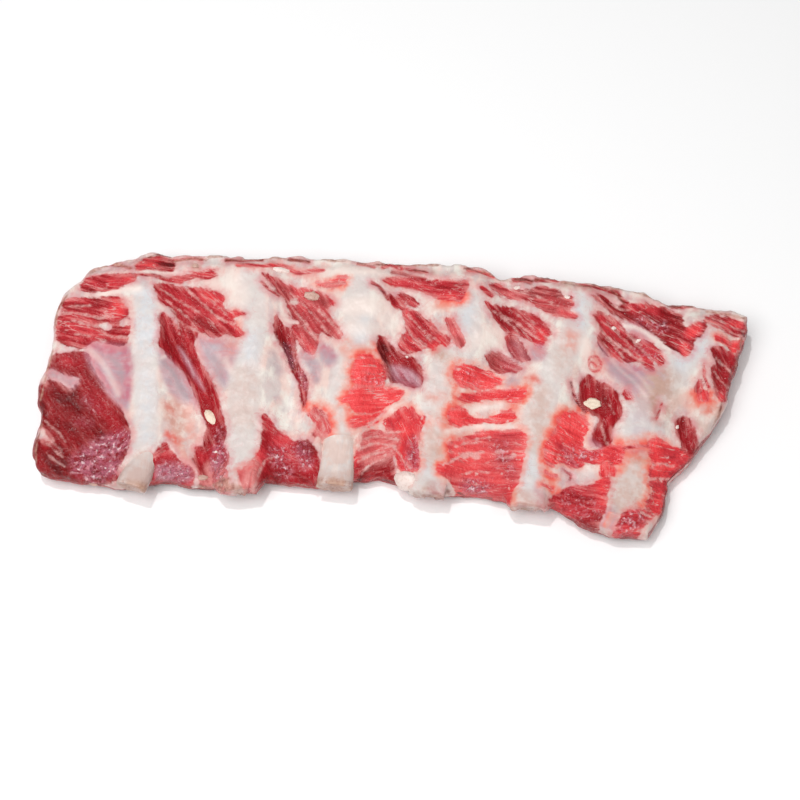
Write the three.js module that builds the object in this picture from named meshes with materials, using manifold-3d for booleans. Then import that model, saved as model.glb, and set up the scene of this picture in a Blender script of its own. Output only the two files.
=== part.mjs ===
// A rack of raw beef back ribs, lying with its inner, membrane side up.
// Millimetres. +X runs along the rack across the ribs, +Y from the sawn rib tips to the backbone edge, +Z up.
import * as THREE from "three";
import { mergeVertices } from "three/addons/utils/BufferGeometryUtils.js";
import Module from "manifold-3d";

// Driving dimensions
const THICKNESS_TIPS = 16; // the rack is thin where the ribs are sawn off
const THICKNESS_SPINE = 25; // and thick along the backbone edge
const TAPER_FROM = -50; // the y between which the thickness grows
const TAPER_TO = 55;
const FLAT_FRONT = -12; // the underside is flat between these two y
const FLAT_BACK = 30;
const FLAT_HALF_LENGTH = 140; // and between plus and minus this x
const LIFT_TIPS = 3.5; // how far the curved ribs lift the edges off the table
const LIFT_SPINE = 3.5;
const LIFT_ENDS = 2.5;
const LIFT_REACH = 50; // over this distance
const RIM_INSET = 3.2; // the rims lie this far inside the widest outline
const RIM_DROP = 2.4; // the upper rim is this much lower than the sheet
const WAIST = 0.5; // share of the thickness at which the outline is widest

const RIDGE_HEIGHT = 2.2; // meat swells over each rib
const RIDGE_HALF_WIDTH = 15;
const HOLLOW_DEPTH = 2.2; // and sinks beside it
const HOLLOW_OFFSET = 27;
const HOLLOW_HALF_WIDTH = 9;

const RIB_THICKNESS = 11.5;
const RIB_PROUD = 1.2; // a rib's crown stands this far out of the meat
const RIB_SIDES = 12;
const RIB_STATIONS = 13;
const RIB_SQUARENESS = 2.6; // exponent of the oval section
const HEAD_SWELL = 1.18; // the rounded head at the backbone end is wider than the shaft
const GAP = 0.3; // between a rib and its channel
const CHANNEL_REACH = 9; // how far a channel runs out past the rib's sawn tip

const SHEET_COLUMNS = 54;
const SHEET_ROWS = 19;

// The outline, each side as [x, y] points
const LEFT_END = [
  [-191, -63], [-196, -48], [-195, -31], [-201, -10], [-198, 8], [-198, 26], [-199, 38],
  [-194, 50], [-184, 60],
];
const RIGHT_END = [
  [144, -64], [149, -49], [150, -40], [160, -22], [171, -2], [179, 17], [184, 36], [190, 64],
  [191, 73],
];
const BACK_EDGE = [
  [-184, 60], [-175, 66], [-162, 71], [-147, 78], [-95, 81], [-44, 86], [8, 87], [34, 87],
  [51, 84], [60, 86], [86, 86], [129, 82], [146, 77], [163, 77], [191, 73],
];
const FRONT_EDGE = [
  [-191, -63], [-175, -66], [-150, -67], [-134, -63], [-118, -60], [-93, -61], [-61, -54],
  [-28, -52], [-4, -49], [22, -51], [71, -52], [96, -57], [104, -63], [121, -66], [137, -66],
  [144, -64],
];

// Each rib: its centreline from the sawn tip to the head, and its width at both ends.
// The tips stand a little out of the sawn edge, but meat closes over the last one.
const RIBS = [
  { line: [[-139, -66], [-135, -48], [-138, -16], [-143, 14], [-147, 39], [-153, 55]], tip: 17, head: 15 },
  { line: [[-81, -60], [-82, -38], [-85, -10], [-86, 8], [-85, 30], [-91, 60]], tip: 21, head: 16 },
  { line: [[-30, -54], [-30, -36], [-32, -5], [-33, 12], [-29, 40], [-30, 60]], tip: 20, head: 17 },
  { line: [[20, -52], [20, -30], [20, 0], [22, 18], [32, 42], [33, 60]], tip: 20, head: 17 },
  { line: [[74, -54], [74, -28], [78, 3], [82, 20], [92, 46], [94, 63]], tip: 20, head: 17 },
  {
    line: [[121, -57], [127, -40], [128, -12], [137, 14], [150, 34], [163, 52]],
    tip: 21,
    head: 18,
    covered: true,
  },
];

// Outline and sheet

function planCurve(points) {
  return new THREE.CatmullRomCurve3(
    points.map(([x, y]) => new THREE.Vector3(x, y, 0)),
    false,
    "centripetal",
  );
}

const leftEnd = planCurve(LEFT_END);
const rightEnd = planCurve(RIGHT_END);
const frontEdge = planCurve(FRONT_EDGE);
const backEdge = planCurve(BACK_EDGE);
const ribLines = RIBS.map((rib) => planCurve(rib.line));

// A Coons patch over the four sides: u runs along the rack, v from the tips to the backbone edge.
function planPoint(u, v) {
  const front = frontEdge.getPointAt(u);
  const back = backEdge.getPointAt(u);
  const left = leftEnd.getPointAt(v);
  const right = rightEnd.getPointAt(v);
  const acrossSides = front.lerp(back, v);
  const acrossEnds = left.lerp(right, u);
  const nearCorners = frontEdge.getPointAt(0).lerp(frontEdge.getPointAt(1), u);
  const farCorners = backEdge.getPointAt(0).lerp(backEdge.getPointAt(1), u);
  return acrossSides.add(acrossEnds).sub(nearCorners.lerp(farCorners, v));
}

function rise(distance) {
  return Math.max(0, distance / LIFT_REACH) ** 2;
}

function undersideHeight({ x, y }) {
  const tips = LIFT_TIPS * rise(FLAT_FRONT - y);
  const spine = LIFT_SPINE * rise(y - FLAT_BACK);
  const ends = LIFT_ENDS * rise(Math.abs(x) - FLAT_HALF_LENGTH);
  return tips + spine + ends;
}

function thickness({ y }) {
  return THREE.MathUtils.mapLinear(
    THREE.MathUtils.smoothstep(y, TAPER_FROM, TAPER_TO),
    0, 1, THICKNESS_TIPS, THICKNESS_SPINE,
  );
}

const ribSamples = ribLines.map((line) => line.getSpacedPoints(40));

// Signed distance across the nearest rib, positive towards +X.
function acrossNearestRib(point) {
  let nearest = null;
  for (const sample of ribSamples.flat()) {
    const distance = sample.distanceTo(point);
    if (nearest === null || distance < nearest.distance) nearest = { distance, sample };
  }
  return Math.sign(point.x - nearest.sample.x) * nearest.distance;
}

function bell(distance, halfWidth) {
  return Math.exp(-((distance / halfWidth) ** 2));
}

function crownHeight(point) {
  const across = Math.abs(acrossNearestRib(point));
  const ridge = RIDGE_HEIGHT * bell(across, RIDGE_HALF_WIDTH);
  const hollow = HOLLOW_DEPTH * bell(across - HOLLOW_OFFSET, HOLLOW_HALF_WIDTH);
  return undersideHeight(point) + thickness(point) + ridge - hollow;
}

function insetPlanPoint(u, v, inset) {
  const along = inset / frontEdge.getLength();
  const across = inset / leftEnd.getLength();
  return planPoint(
    THREE.MathUtils.lerp(along, 1 - along, u),
    THREE.MathUtils.lerp(across, 1 - across, v),
  );
}

function onRim(u, v) {
  return u === 0 || u === 1 || v === 0 || v === 1;
}

function upperPoint(u, v) {
  const point = insetPlanPoint(u, v, RIM_INSET);
  point.z = crownHeight(point) - (onRim(u, v) ? RIM_DROP : 0);
  return point;
}

function lowerPoint(u, v) {
  const point = insetPlanPoint(u, v, RIM_INSET);
  point.z = undersideHeight(point);
  return point;
}

function waistPoint(u, v) {
  const point = planPoint(u, v);
  point.z = undersideHeight(point) + WAIST * thickness(point);
  return point;
}

// The closed sheet: an upper grid, a lower grid, and a waist ring that joins their rims.
function sheetGeometry() {
  const positions = [];
  const triangle = (a, b, c) => positions.push(...a.toArray(), ...b.toArray(), ...c.toArray());
  const quad = (a, b, c, d) => {
    triangle(a, b, c);
    triangle(a, c, d);
  };
  const grid = (makePoint) =>
    Array.from({ length: SHEET_COLUMNS + 1 }, (_, i) =>
      Array.from({ length: SHEET_ROWS + 1 }, (_, j) => makePoint(i / SHEET_COLUMNS, j / SHEET_ROWS)),
    );
  const upper = grid(upperPoint);
  const lower = grid(lowerPoint);
  for (let i = 0; i < SHEET_COLUMNS; i++) {
    for (let j = 0; j < SHEET_ROWS; j++) {
      quad(upper[i][j], upper[i + 1][j], upper[i + 1][j + 1], upper[i][j + 1]);
      quad(lower[i][j], lower[i][j + 1], lower[i + 1][j + 1], lower[i + 1][j]);
    }
  }
  const ring = rimCells();
  ring.forEach(([i, j], n) => {
    const [k, l] = ring[(n + 1) % ring.length];
    const here = waistPoint(i / SHEET_COLUMNS, j / SHEET_ROWS);
    const next = waistPoint(k / SHEET_COLUMNS, l / SHEET_ROWS);
    quad(lower[i][j], lower[k][l], next, here);
    quad(here, next, upper[k][l], upper[i][j]);
  });
  return new THREE.BufferGeometry().setAttribute(
    "position",
    new THREE.Float32BufferAttribute(positions, 3),
  );
}

// The grid's rim, anticlockwise seen from above.
function rimCells() {
  const ring = [];
  for (let i = 0; i < SHEET_COLUMNS; i++) ring.push([i, 0]);
  for (let j = 0; j < SHEET_ROWS; j++) ring.push([SHEET_COLUMNS, j]);
  for (let i = SHEET_COLUMNS; i > 0; i--) ring.push([i, SHEET_ROWS]);
  for (let j = SHEET_ROWS; j > 0; j--) ring.push([0, j]);
  return ring;
}

// Ribs

// How full the section is along the rib: a blunt rounded head, a full sawn tip.
function headRounding(t) {
  const headLength = 0.13;
  const intoHead = Math.max(0, (t - (1 - headLength)) / headLength);
  return Math.sqrt(Math.max(0, 1 - (0.94 * intoHead) ** 2));
}

// Stations crowd together at the head, where the section shrinks.
function stationAt(n) {
  return 1 - (1 - n / (RIB_STATIONS - 1)) ** 1.35;
}

function ovalCorner(angle, halfWidth, halfThickness) {
  const power = 2 / RIB_SQUARENESS;
  const c = Math.cos(angle);
  const s = Math.sin(angle);
  return {
    across: halfWidth * Math.sign(c) * Math.abs(c) ** power,
    up: halfThickness * Math.sign(s) * Math.abs(s) ** power,
  };
}

// One rib as a loft of upright ovals along its line; grow makes the tool that cuts its channel.
function ribGeometry(rib, line, grow) {
  const rings = [];
  for (let n = 0; n < RIB_STATIONS; n++) {
    const t = stationAt(n);
    const centre = line.getPointAt(t);
    const along = line.getTangentAt(t);
    const side = new THREE.Vector3(-along.y, along.x, 0).normalize();
    const shaft = THREE.MathUtils.lerp(rib.tip, rib.head, t);
    const swell = THREE.MathUtils.lerp(1, HEAD_SWELL, THREE.MathUtils.smoothstep(t, 0.72, 0.9));
    const rounding = headRounding(t);
    const halfWidth = (shaft * swell * rounding) / 2 + grow;
    const halfThickness = (RIB_THICKNESS * swell * rounding) / 2 + grow;
    const crown = crownHeight(centre) + RIB_PROUD;
    const middle = crown - (RIB_THICKNESS * swell) / 2;
    if (n === RIB_STATIONS - 1) centre.addScaledVector(along, grow);
    rings.push(
      Array.from({ length: RIB_SIDES }, (_, k) => {
        const corner = ovalCorner(((k + 0.5) / RIB_SIDES) * 2 * Math.PI, halfWidth, halfThickness);
        return new THREE.Vector3(centre.x, centre.y, middle)
          .addScaledVector(side, corner.across)
          .add(new THREE.Vector3(0, 0, corner.up));
      }),
    );
  }
  if (grow > 0) {
    const outward = line.getTangentAt(0).multiplyScalar(rib.covered ? -grow : -CHANNEL_REACH);
    rings.unshift(rings[0].map((corner) => corner.clone().add(outward)));
  }
  return loftGeometry(rings);
}

// A closed loft through rings of equally many points, with flat caps.
function loftGeometry(rings) {
  const sides = rings[0].length;
  const positions = [];
  const triangle = (a, b, c) => positions.push(...a.toArray(), ...b.toArray(), ...c.toArray());
  for (let n = 0; n + 1 < rings.length; n++) {
    for (let k = 0; k < sides; k++) {
      const next = (k + 1) % sides;
      triangle(rings[n][k], rings[n][next], rings[n + 1][next]);
      triangle(rings[n][k], rings[n + 1][next], rings[n + 1][k]);
    }
  }
  const first = rings[0];
  const last = rings[rings.length - 1];
  for (let k = 1; k + 1 < sides; k++) {
    triangle(first[0], first[k + 1], first[k]);
    triangle(last[0], last[k], last[k + 1]);
  }
  return new THREE.BufferGeometry().setAttribute(
    "position",
    new THREE.Float32BufferAttribute(positions, 3),
  );
}

// Booleans

const wasm = await Module();
wasm.setup();

function toSolid(geometry) {
  const merged = mergeVertices(geometry, 1e-4);
  return new wasm.Manifold(
    new wasm.Mesh({
      numProp: 3,
      vertProperties: merged.attributes.position.array,
      triVerts: new Uint32Array(merged.index.array),
    }),
  );
}

function toGeometry(solid) {
  const { vertProperties, triVerts } = solid.getMesh();
  return new THREE.BufferGeometry()
    .setAttribute("position", new THREE.BufferAttribute(vertProperties, 3))
    .setIndex(new THREE.BufferAttribute(triVerts, 1));
}

function namedMesh(name, geometry, material) {
  const mesh = new THREE.Mesh(geometry, material);
  mesh.name = name;
  return mesh;
}

// The rack

const meatFinish = new THREE.MeshStandardMaterial({ color: 0xb5645c, roughness: 0.42, metalness: 0 });
const boneFinish = new THREE.MeshStandardMaterial({ color: 0xd3c8bd, roughness: 0.5, metalness: 0 });

const rack = new THREE.Group();
let meat = toSolid(sheetGeometry());
RIBS.forEach((rib, n) => {
  meat = meat.subtract(toSolid(ribGeometry(rib, ribLines[n], GAP)));
  rack.add(namedMesh(`rib_${n + 1}`, ribGeometry(rib, ribLines[n], 0), boneFinish));
});
rack.add(namedMesh("meat", toGeometry(meat), meatFinish));

// The origin is the middle of the box's underside.
const box = new THREE.Box3().setFromObject(rack);
const middle = box.getCenter(new THREE.Vector3());
rack.position.set(-middle.x, -middle.y, -box.min.z);

export default rack;
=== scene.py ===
"""A rack of raw beef ribs, inner side up. Metres, unless a name or comment says mm or px."""
import functools
import math

import bmesh
import bpy
import numpy as np
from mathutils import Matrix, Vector
from mathutils.bvhtree import BVHTree


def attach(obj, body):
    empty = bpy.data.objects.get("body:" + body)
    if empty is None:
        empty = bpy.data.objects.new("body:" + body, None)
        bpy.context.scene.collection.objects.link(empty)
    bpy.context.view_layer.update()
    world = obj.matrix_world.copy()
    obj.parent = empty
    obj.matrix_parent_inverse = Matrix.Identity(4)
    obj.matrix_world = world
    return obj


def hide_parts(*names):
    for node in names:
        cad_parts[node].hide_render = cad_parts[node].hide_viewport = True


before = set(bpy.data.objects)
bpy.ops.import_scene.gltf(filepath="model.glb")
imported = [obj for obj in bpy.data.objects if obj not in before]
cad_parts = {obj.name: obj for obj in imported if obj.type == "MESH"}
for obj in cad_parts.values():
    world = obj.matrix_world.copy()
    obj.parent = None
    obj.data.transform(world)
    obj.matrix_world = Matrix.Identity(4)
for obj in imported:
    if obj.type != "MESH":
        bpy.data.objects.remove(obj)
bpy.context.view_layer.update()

MM = 0.001
NEARLY_ZERO = 1e-9

# ---------------------------------------------------------------- camera

PHOTO_SIDE_PX = 800
CAMERA_AZIMUTH = math.radians(6.0)
CAMERA_ELEVATION = math.radians(65.0)
LENS_MM = 75.0
SENSOR_MM = 36.0
NEAREST_SEEN = 0.05
FURTHEST_SEEN = 20.0
PIXEL_MM = 0.55  # size of a photo pixel where the camera aims
AIM = np.array([0.0050, -0.0098, 0.020])
FOCAL_PX = LENS_MM / SENSOR_MM * PHOTO_SIDE_PX
DISTANCE = FOCAL_PX * PIXEL_MM * MM
TOWARDS_CAMERA = np.array([
    math.sin(CAMERA_AZIMUTH) * math.cos(CAMERA_ELEVATION),
    -math.cos(CAMERA_AZIMUTH) * math.cos(CAMERA_ELEVATION),
    math.sin(CAMERA_ELEVATION),
])
EYE = AIM + DISTANCE * TOWARDS_CAMERA
RIGHTWARDS = np.array([math.cos(CAMERA_AZIMUTH), math.sin(CAMERA_AZIMUTH), 0.0])
UPWARDS = np.cross(RIGHTWARDS, -TOWARDS_CAMERA)


def to_photo(points):
    """Photo pixels of points in the row frame."""
    seen = np.asarray(points, float) - EYE
    depth = seen @ -TOWARDS_CAMERA
    middle = PHOTO_SIDE_PX / 2
    return np.stack([middle + FOCAL_PX * (seen @ RIGHTWARDS) / depth,
                     middle - FOCAL_PX * (seen @ UPWARDS) / depth], axis=-1)


def from_photo(pixels, height):
    """Points in the row frame at a height, one for each photo pixel."""
    pixels = np.asarray(pixels, float)
    offset = (pixels - PHOTO_SIDE_PX / 2) / FOCAL_PX
    rays = -TOWARDS_CAMERA + offset[..., :1] * RIGHTWARDS - offset[..., 1:] * UPWARDS
    reach = (height - EYE[2]) / rays[..., 2]
    return EYE + reach[..., None] * rays


# ---------------------------------------------------------------- outlines read off the photo, in px

LEFT_END_PX = [(43, 478), (35, 466), (35, 448), (41, 425), (39, 396), (46, 375), (53, 350), (55, 325),
               (60, 310), (66, 301), (77, 293), (83, 285), (88, 278)]
BACK_EDGE_PX = [(88, 278), (95, 271), (103, 266), (118, 262), (140, 257), (156, 252), (175, 256),
                (210, 255), (250, 258), (300, 257), (340, 260), (400, 263), (440, 265), (475, 267),
                (487, 271), (498, 278), (515, 276), (540, 276), (565, 281), (595, 285), (625, 288),
                (645, 294), (668, 304), (690, 304), (710, 310), (732, 312), (748, 318)]
RIGHT_END_PX = [(645, 541), (656, 529), (662, 514), (666, 495), (671, 481), (685, 470), (697, 454),
                (712, 434), (722, 417), (727, 397), (734, 376), (741, 352), (747, 333), (748, 318)]
FRONT_EDGE_PX = [(43, 478), (60, 483), (80, 486), (98, 487), (120, 493), (142, 489), (165, 486), (192, 490),
                 (225, 491), (250, 483), (285, 486), (325, 490), (352, 484), (380, 482), (403, 488),
                 (440, 496), (480, 499), (507, 504), (547, 509), (568, 520), (580, 529), (600, 536),
                 (622, 541), (645, 541)]
# Heights at which those edges stand out furthest for the camera
FRONT_EDGE_HEIGHT = 5.5 * MM
BACK_EDGE_HEIGHT = 21 * MM

# Ribs under the membrane: centreline with half width, from the head to the tip
RIBS_PX = {
    "rib_1": [(140, 284, 9), (147, 310, 11), (147, 350, 11), (146, 400, 12), (148, 440, 11), (134, 474, 11)],
    "rib_2": [(250, 283, 13), (256, 318, 12), (250, 350, 13), (245, 385, 16), (243, 430, 17), (239, 480, 16)],
    "rib_3": [(358, 291, 13), (357, 320, 13), (347, 362, 12), (340, 400, 12), (339, 440, 13), (335, 485, 14)],
    "rib_4": [(470, 303, 13), (467, 332, 13), (445, 368, 13), (436, 400, 14), (431, 445, 15), (428, 482, 15)],
    "rib_5": [(578, 306, 14), (574, 335, 14), (556, 370, 14), (542, 405, 14), (534, 445, 14), (528, 490, 13)],
    "rib_6": [(699, 343, 14), (680, 366, 16), (656, 392, 16), (640, 420, 15), (630, 462, 15), (616, 520, 14)],
}

# Muscle that shows through the membrane: redness 0 maroon to 1 scarlet, fibre direction in degrees clockwise
# from the photo's x, depth in mm that it lies below the membrane, and its outline.
MUSCLES_PX = {
    "left_rim": (0.45, 4, 0.4, [(82, 290), (83, 281), (92, 276), (108, 273), (122, 275), (137, 277),
                                (136, 282), (126, 287), (110, 289), (96, 290)]),
    "left_striped": (0.42, 6, 0.4, [(62, 312), (64, 301), (80, 298), (98, 296), (116, 297), (125, 305),
                                    (129, 315), (127, 344), (118, 346), (104, 340), (92, 341), (84, 347),
                                    (70, 346), (59, 341), (56, 328)]),
    "left_dark": (0.16, 45, 1.2, [(54, 355), (68, 352), (86, 352), (92, 366), (100, 380), (111, 393),
                                  (119, 405), (126, 420), (131, 437), (129, 451), (123, 463), (118, 470),
                                  (119, 477), (104, 486), (90, 488), (74, 490), (56, 488), (38, 484),
                                  (30, 468), (32, 446), (38, 436), (40, 424), (34, 408), (36, 388),
                                  (48, 380), (48, 368)]),
    "gap_1_rim": (0.45, 0, 0.4, [(135, 267), (142, 261), (150, 256), (160, 254), (168, 257), (174, 262),
                                 (173, 269), (158, 270), (148, 271), (138, 272)]),
    "gap_1_thin": (0.5, 0, 0.3, [(153, 277), (165, 279), (176, 275), (190, 272), (204, 269), (214, 270),
                                 (218, 273), (206, 277), (192, 278), (180, 282), (160, 280)]),
    "gap_1_upper": (0.45, 38, 0.6, [(155, 287), (170, 284), (190, 287), (203, 286), (213, 290), (225, 296),
                                    (224, 304), (227, 310), (240, 313), (246, 317), (233, 320), (240, 330),
                                    (244, 336), (238, 340), (226, 334), (218, 337), (200, 331), (190, 328),
                                    (179, 322), (172, 310), (163, 305), (157, 296)]),
    "gap_1_deep": (0.34, 64, 2.6, [(160, 316), (168, 317), (175, 322), (186, 327), (198, 331), (193, 342),
                                   (199, 358), (208, 373), (217, 392), (221, 410), (227, 432), (224, 447),
                                   (229, 457), (228, 466), (221, 477), (218, 497), (204, 497), (200, 487),
                                   (199, 472), (193, 459), (196, 447), (203, 443), (205, 432), (207, 426),
                                   (200, 408), (192, 388), (182, 370), (170, 359), (160, 347), (162, 330)]),
    "gap_1_low": (0.36, -35, 1.4, [(160, 449), (167, 445), (173, 453), (179, 460), (189, 465), (193, 473),
                                   (191, 487), (172, 489), (156, 493), (143, 493), (144, 477), (152, 460)]),
    "gap_2_upper": (0.48, 50, 0.6, [(263, 275), (280, 281), (300, 287), (316, 289), (327, 297), (335, 305),
                                    (328, 308), (332, 320), (343, 338), (338, 341), (330, 337), (320, 331),
                                    (318, 342), (314, 352), (307, 352), (301, 343), (292, 331), (292, 324),
                                    (303, 322), (292, 316), (288, 308), (286, 301), (278, 294), (269, 283)]),
    "gap_2_deep": (0.25, 74, 1.8, [(276, 318), (282, 323), (294, 333), (295, 350), (299, 364), (307, 378),
                                   (308, 387), (306, 398), (304, 409), (301, 396), (298, 380), (291, 368),
                                   (285, 352), (277, 338), (274, 325)]),
    "gap_2_orange": (0.6, 60, 0.2, [(307, 414), (311, 410), (320, 410), (329, 420), (331, 432), (322, 439),
                                    (312, 436), (317, 427)]),
    "gap_2_rim": (0.85, 0, 0.2, [(315, 281), (330, 281), (338, 278), (348, 279), (346, 285), (330, 289),
                                 (321, 286)]),
    "gap_2_low": (0.38, 25, 1.4, [(263, 416), (270, 418), (276, 428), (284, 434), (296, 440), (303, 438),
                                  (311, 443), (318, 457), (320, 469), (319, 480), (316, 496), (300, 495),
                                  (275, 493), (248, 494), (243, 485), (252, 476), (253, 462), (261, 450),
                                  (262, 436), (264, 428)]),
    "rib_2_left": (0.5, -60, 0.3, [(211, 458), (220, 463), (225, 470), (228, 478), (226, 485), (212, 487)]),
    "rib_2_end": (0.6, -35, 0.1, [(262, 452), (256, 459), (250, 466), (244, 472), (238, 475), (240, 481),
                                  (247, 484), (252, 478), (257, 468)]),
    "gap_3_upper": (0.45, 10, 0.5, [(384, 281), (392, 276), (410, 277), (430, 280), (450, 279), (458, 283),
                                    (464, 281), (468, 286), (465, 295), (459, 303), (446, 300), (430, 294),
                                    (410, 288), (392, 285)]),
    "gap_3_thin": (0.4, 35, 0.3, [(397, 291), (408, 295), (419, 303), (415, 307), (405, 300)]),
    "gap_3_small": (0.4, 40, 0.5, [(389, 295), (398, 297), (405, 303), (404, 309), (394, 306)]),
    "gap_3_middle": (0.5, 46, 0.7, [(403, 308), (413, 309), (424, 316), (433, 322), (440, 332), (450, 341),
                                    (448, 347), (439, 346), (433, 353), (426, 349), (412, 352), (403, 350),
                                    (399, 342), (403, 335), (407, 330), (405, 318)]),
    "gap_3_edge": (0.5, 62, 0.4, [(446, 319), (452, 319), (459, 331), (464, 347), (458, 350), (451, 338)]),
    "gap_3_deep": (0.3, 52, 2.4, [(377, 339), (385, 338), (398, 350), (413, 357), (420, 366), (421, 388),
                                  (408, 386), (401, 381), (392, 381), (384, 362), (378, 350)]),
    "fresh_1": (0.95, -12, 0.0, [(356, 362), (366, 356), (377, 360), (385, 366), (385, 380), (380, 387),
                                 (366, 387), (355, 386), (352, 376)]),
    "fresh_2": (0.93, -14, 0.0, [(354, 389), (372, 387), (390, 387), (403, 391), (400, 398), (386, 406),
                                 (376, 413), (360, 416), (352, 412), (349, 405), (343, 404), (348, 397)]),
    "fresh_3": (0.9, -25, 0.0, [(354, 418), (368, 416), (385, 410), (380, 418), (366, 428), (352, 431)]),
    "fresh_4": (0.74, 62, 0.3, [(384, 421), (391, 415), (404, 408), (413, 410), (417, 417), (424, 420),
                                (420, 436), (418, 448), (420, 464), (418, 474), (408, 475), (399, 468),
                                (396, 452), (399, 438), (388, 430)]),
    "striped": (0.65, -25, 0.3, [(367, 432), (380, 430), (401, 437), (395, 454), (383, 459), (368, 465),
                                 (360, 474), (356, 486), (351, 470), (357, 452)]),
    "gap_3_low": (0.26, -30, 1.6, [(374, 463), (390, 453), (395, 470), (399, 480), (396, 492), (380, 492),
                                   (357, 492), (357, 478)]),
    "red_1": (0.9, 8, 0.2, [(453, 377), (459, 367), (468, 367), (482, 368), (494, 372), (504, 380),
                            (496, 385), (486, 388), (466, 389), (456, 385)]),
    "red_2": (0.85, 2, 0.2, [(456, 399), (470, 393), (488, 389), (508, 389), (526, 393), (522, 400),
                             (514, 403), (500, 398), (480, 400), (466, 403)]),
    "red_3": (0.85, 4, 0.2, [(447, 417), (455, 408), (466, 410), (474, 416), (488, 417), (500, 411),
                             (512, 411), (515, 420), (500, 422), (478, 422), (464, 425), (451, 427)]),
    "red_4": (0.8, 2, 0.3, [(448, 446), (464, 437), (480, 430), (500, 430), (520, 432), (527, 440),
                            (523, 456), (521, 470), (519, 482), (513, 493), (505, 503), (480, 506),
                            (458, 502), (455, 489), (446, 481), (437, 475), (439, 468), (448, 465),
                            (450, 456)]),
    "gap_4_rim": (0.42, 14, 0.5, [(489, 286), (500, 284), (511, 290), (522, 289), (540, 286), (556, 290),
                                  (564, 299), (571, 297), (573, 306), (570, 313), (577, 321), (562, 320),
                                  (548, 313), (536, 304), (520, 298), (500, 295)]),
    "gap_4_middle": (0.42, 40, 0.6, [(485, 304), (494, 306), (508, 306), (524, 310), (536, 314), (543, 322),
                                     (551, 333), (546, 341), (541, 350), (532, 343), (520, 334), (505, 330),
                                     (495, 320)]),
    "gap_4_small": (0.4, 55, 0.6, [(507, 334), (516, 336), (525, 347), (530, 360), (521, 362), (512, 354)]),
    "gap_4_deep": (0.38, 24, 1.8, [(486, 357), (492, 352), (502, 353), (513, 361), (522, 369), (510, 371),
                                   (497, 371)]),
    "fresh_5": (0.85, 20, 0.2, [(551, 437), (557, 427), (558, 419), (568, 414), (581, 413), (588, 419),
                                (588, 428), (584, 436), (585, 447), (592, 451), (608, 446), (622, 449),
                                (622, 462), (612, 467), (608, 461), (600, 465), (586, 462), (576, 467),
                                (560, 463), (552, 469), (543, 460), (545, 449)]),
    "fresh_5_fork": (0.75, 80, 0.1, [(602, 462), (611, 466), (616, 474), (607, 480), (601, 478)]),
    "fresh_6": (0.45, 12, 0.4, [(552, 498), (562, 491), (574, 484), (594, 484), (607, 477), (610, 486),
                                (607, 497), (605, 510), (600, 522), (595, 540), (578, 536), (560, 520),
                                (548, 513)]),
    "gap_5_rim": (0.28, 30, 0.7, [(591, 297), (602, 296), (616, 304), (630, 303), (650, 303), (666, 308),
                                  (680, 314), (685, 330), (691, 326), (698, 324), (706, 328), (702, 336),
                                  (694, 341), (692, 351), (686, 359), (677, 355), (664, 343), (650, 330),
                                  (630, 321), (612, 312), (600, 304)]),
    "gap_5_upper": (0.44, 38, 0.7, [(594, 320), (597, 314), (608, 315), (618, 320), (627, 332), (640, 337),
                                    (652, 342), (659, 352), (663, 364), (659, 369), (653, 361), (653, 373),
                                    (647, 371), (638, 361), (627, 361), (612, 356), (600, 348), (598, 338),
                                    (601, 332)]),
    "gap_5_deep": (0.32, 80, 2.2, [(583, 378), (590, 375), (600, 380), (612, 386), (619, 398), (621, 416),
                                   (612, 430), (609, 447), (601, 447), (592, 438), (599, 418), (590, 411),
                                   (580, 400)]),
    "gap_5_spot": (0.5, 60, 0.3, [(622, 393), (627, 390), (632, 400), (626, 402)]),
    "right_striped": (0.45, 22, 0.3, [(703, 323), (714, 314), (728, 317), (744, 321), (753, 322),
                                      (750, 337), (738, 336), (720, 330)]),
    "right_small": (0.8, 10, 0.2, [(713, 338), (722, 336), (729, 342), (735, 340), (745, 341), (742, 352),
                                   (734, 353), (726, 345), (716, 343)]),
    "right_dark": (0.3, 48, 1.0, [(710, 351), (716, 348), (735, 354), (742, 358), (738, 374), (732, 390),
                                  (726, 402), (719, 399), (714, 384), (711, 370), (715, 364)]),
    "right_spot_1": (0.4, 80, 0.4, [(700, 382), (703, 386), (700, 394), (695, 392), (696, 387)]),
    "right_spot_2": (0.8, 70, 0.2, [(704, 389), (709, 392), (708, 399), (699, 400), (698, 394)]),
    "right_oval": (0.25, 75, 1.4, [(675, 425), (680, 417), (688, 417), (694, 427), (698, 440), (697, 451),
                                   (690, 457), (684, 450), (680, 438)]),
    "right_fresh": (0.68, -3, 0.3, [(647, 446), (655, 439), (668, 444), (684, 449), (694, 456), (692, 470),
                                    (680, 486), (672, 500), (668, 514), (654, 513), (645, 506), (652, 494),
                                    (648, 480), (651, 464)]),
    "front_fresh": (0.55, -15, 0.4, [(615, 528), (622, 518), (632, 511), (644, 510), (653, 516), (645, 524),
                                     (638, 536), (630, 549), (614, 548)]),
}

# How much of the fibres shows in muscle that is smoother than the rest
SMOOTH_MUSCLES = {
    "left_dark": 0.2, "gap_1_deep": 0.5, "gap_1_low": 0.4, "gap_2_deep": 0.6, "gap_2_low": 0.35,
    "gap_3_deep": 0.5, "gap_3_low": 0.5, "gap_4_deep": 0.6, "gap_5_deep": 0.4, "right_oval": 0.4,
    "right_dark": 0.6, "fresh_6": 0.7, "red_4": 0.8, "gap_1_upper": 0.7, "gap_2_upper": 0.8,
    "gap_3_upper": 0.6, "gap_4_middle": 0.75,
}

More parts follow.
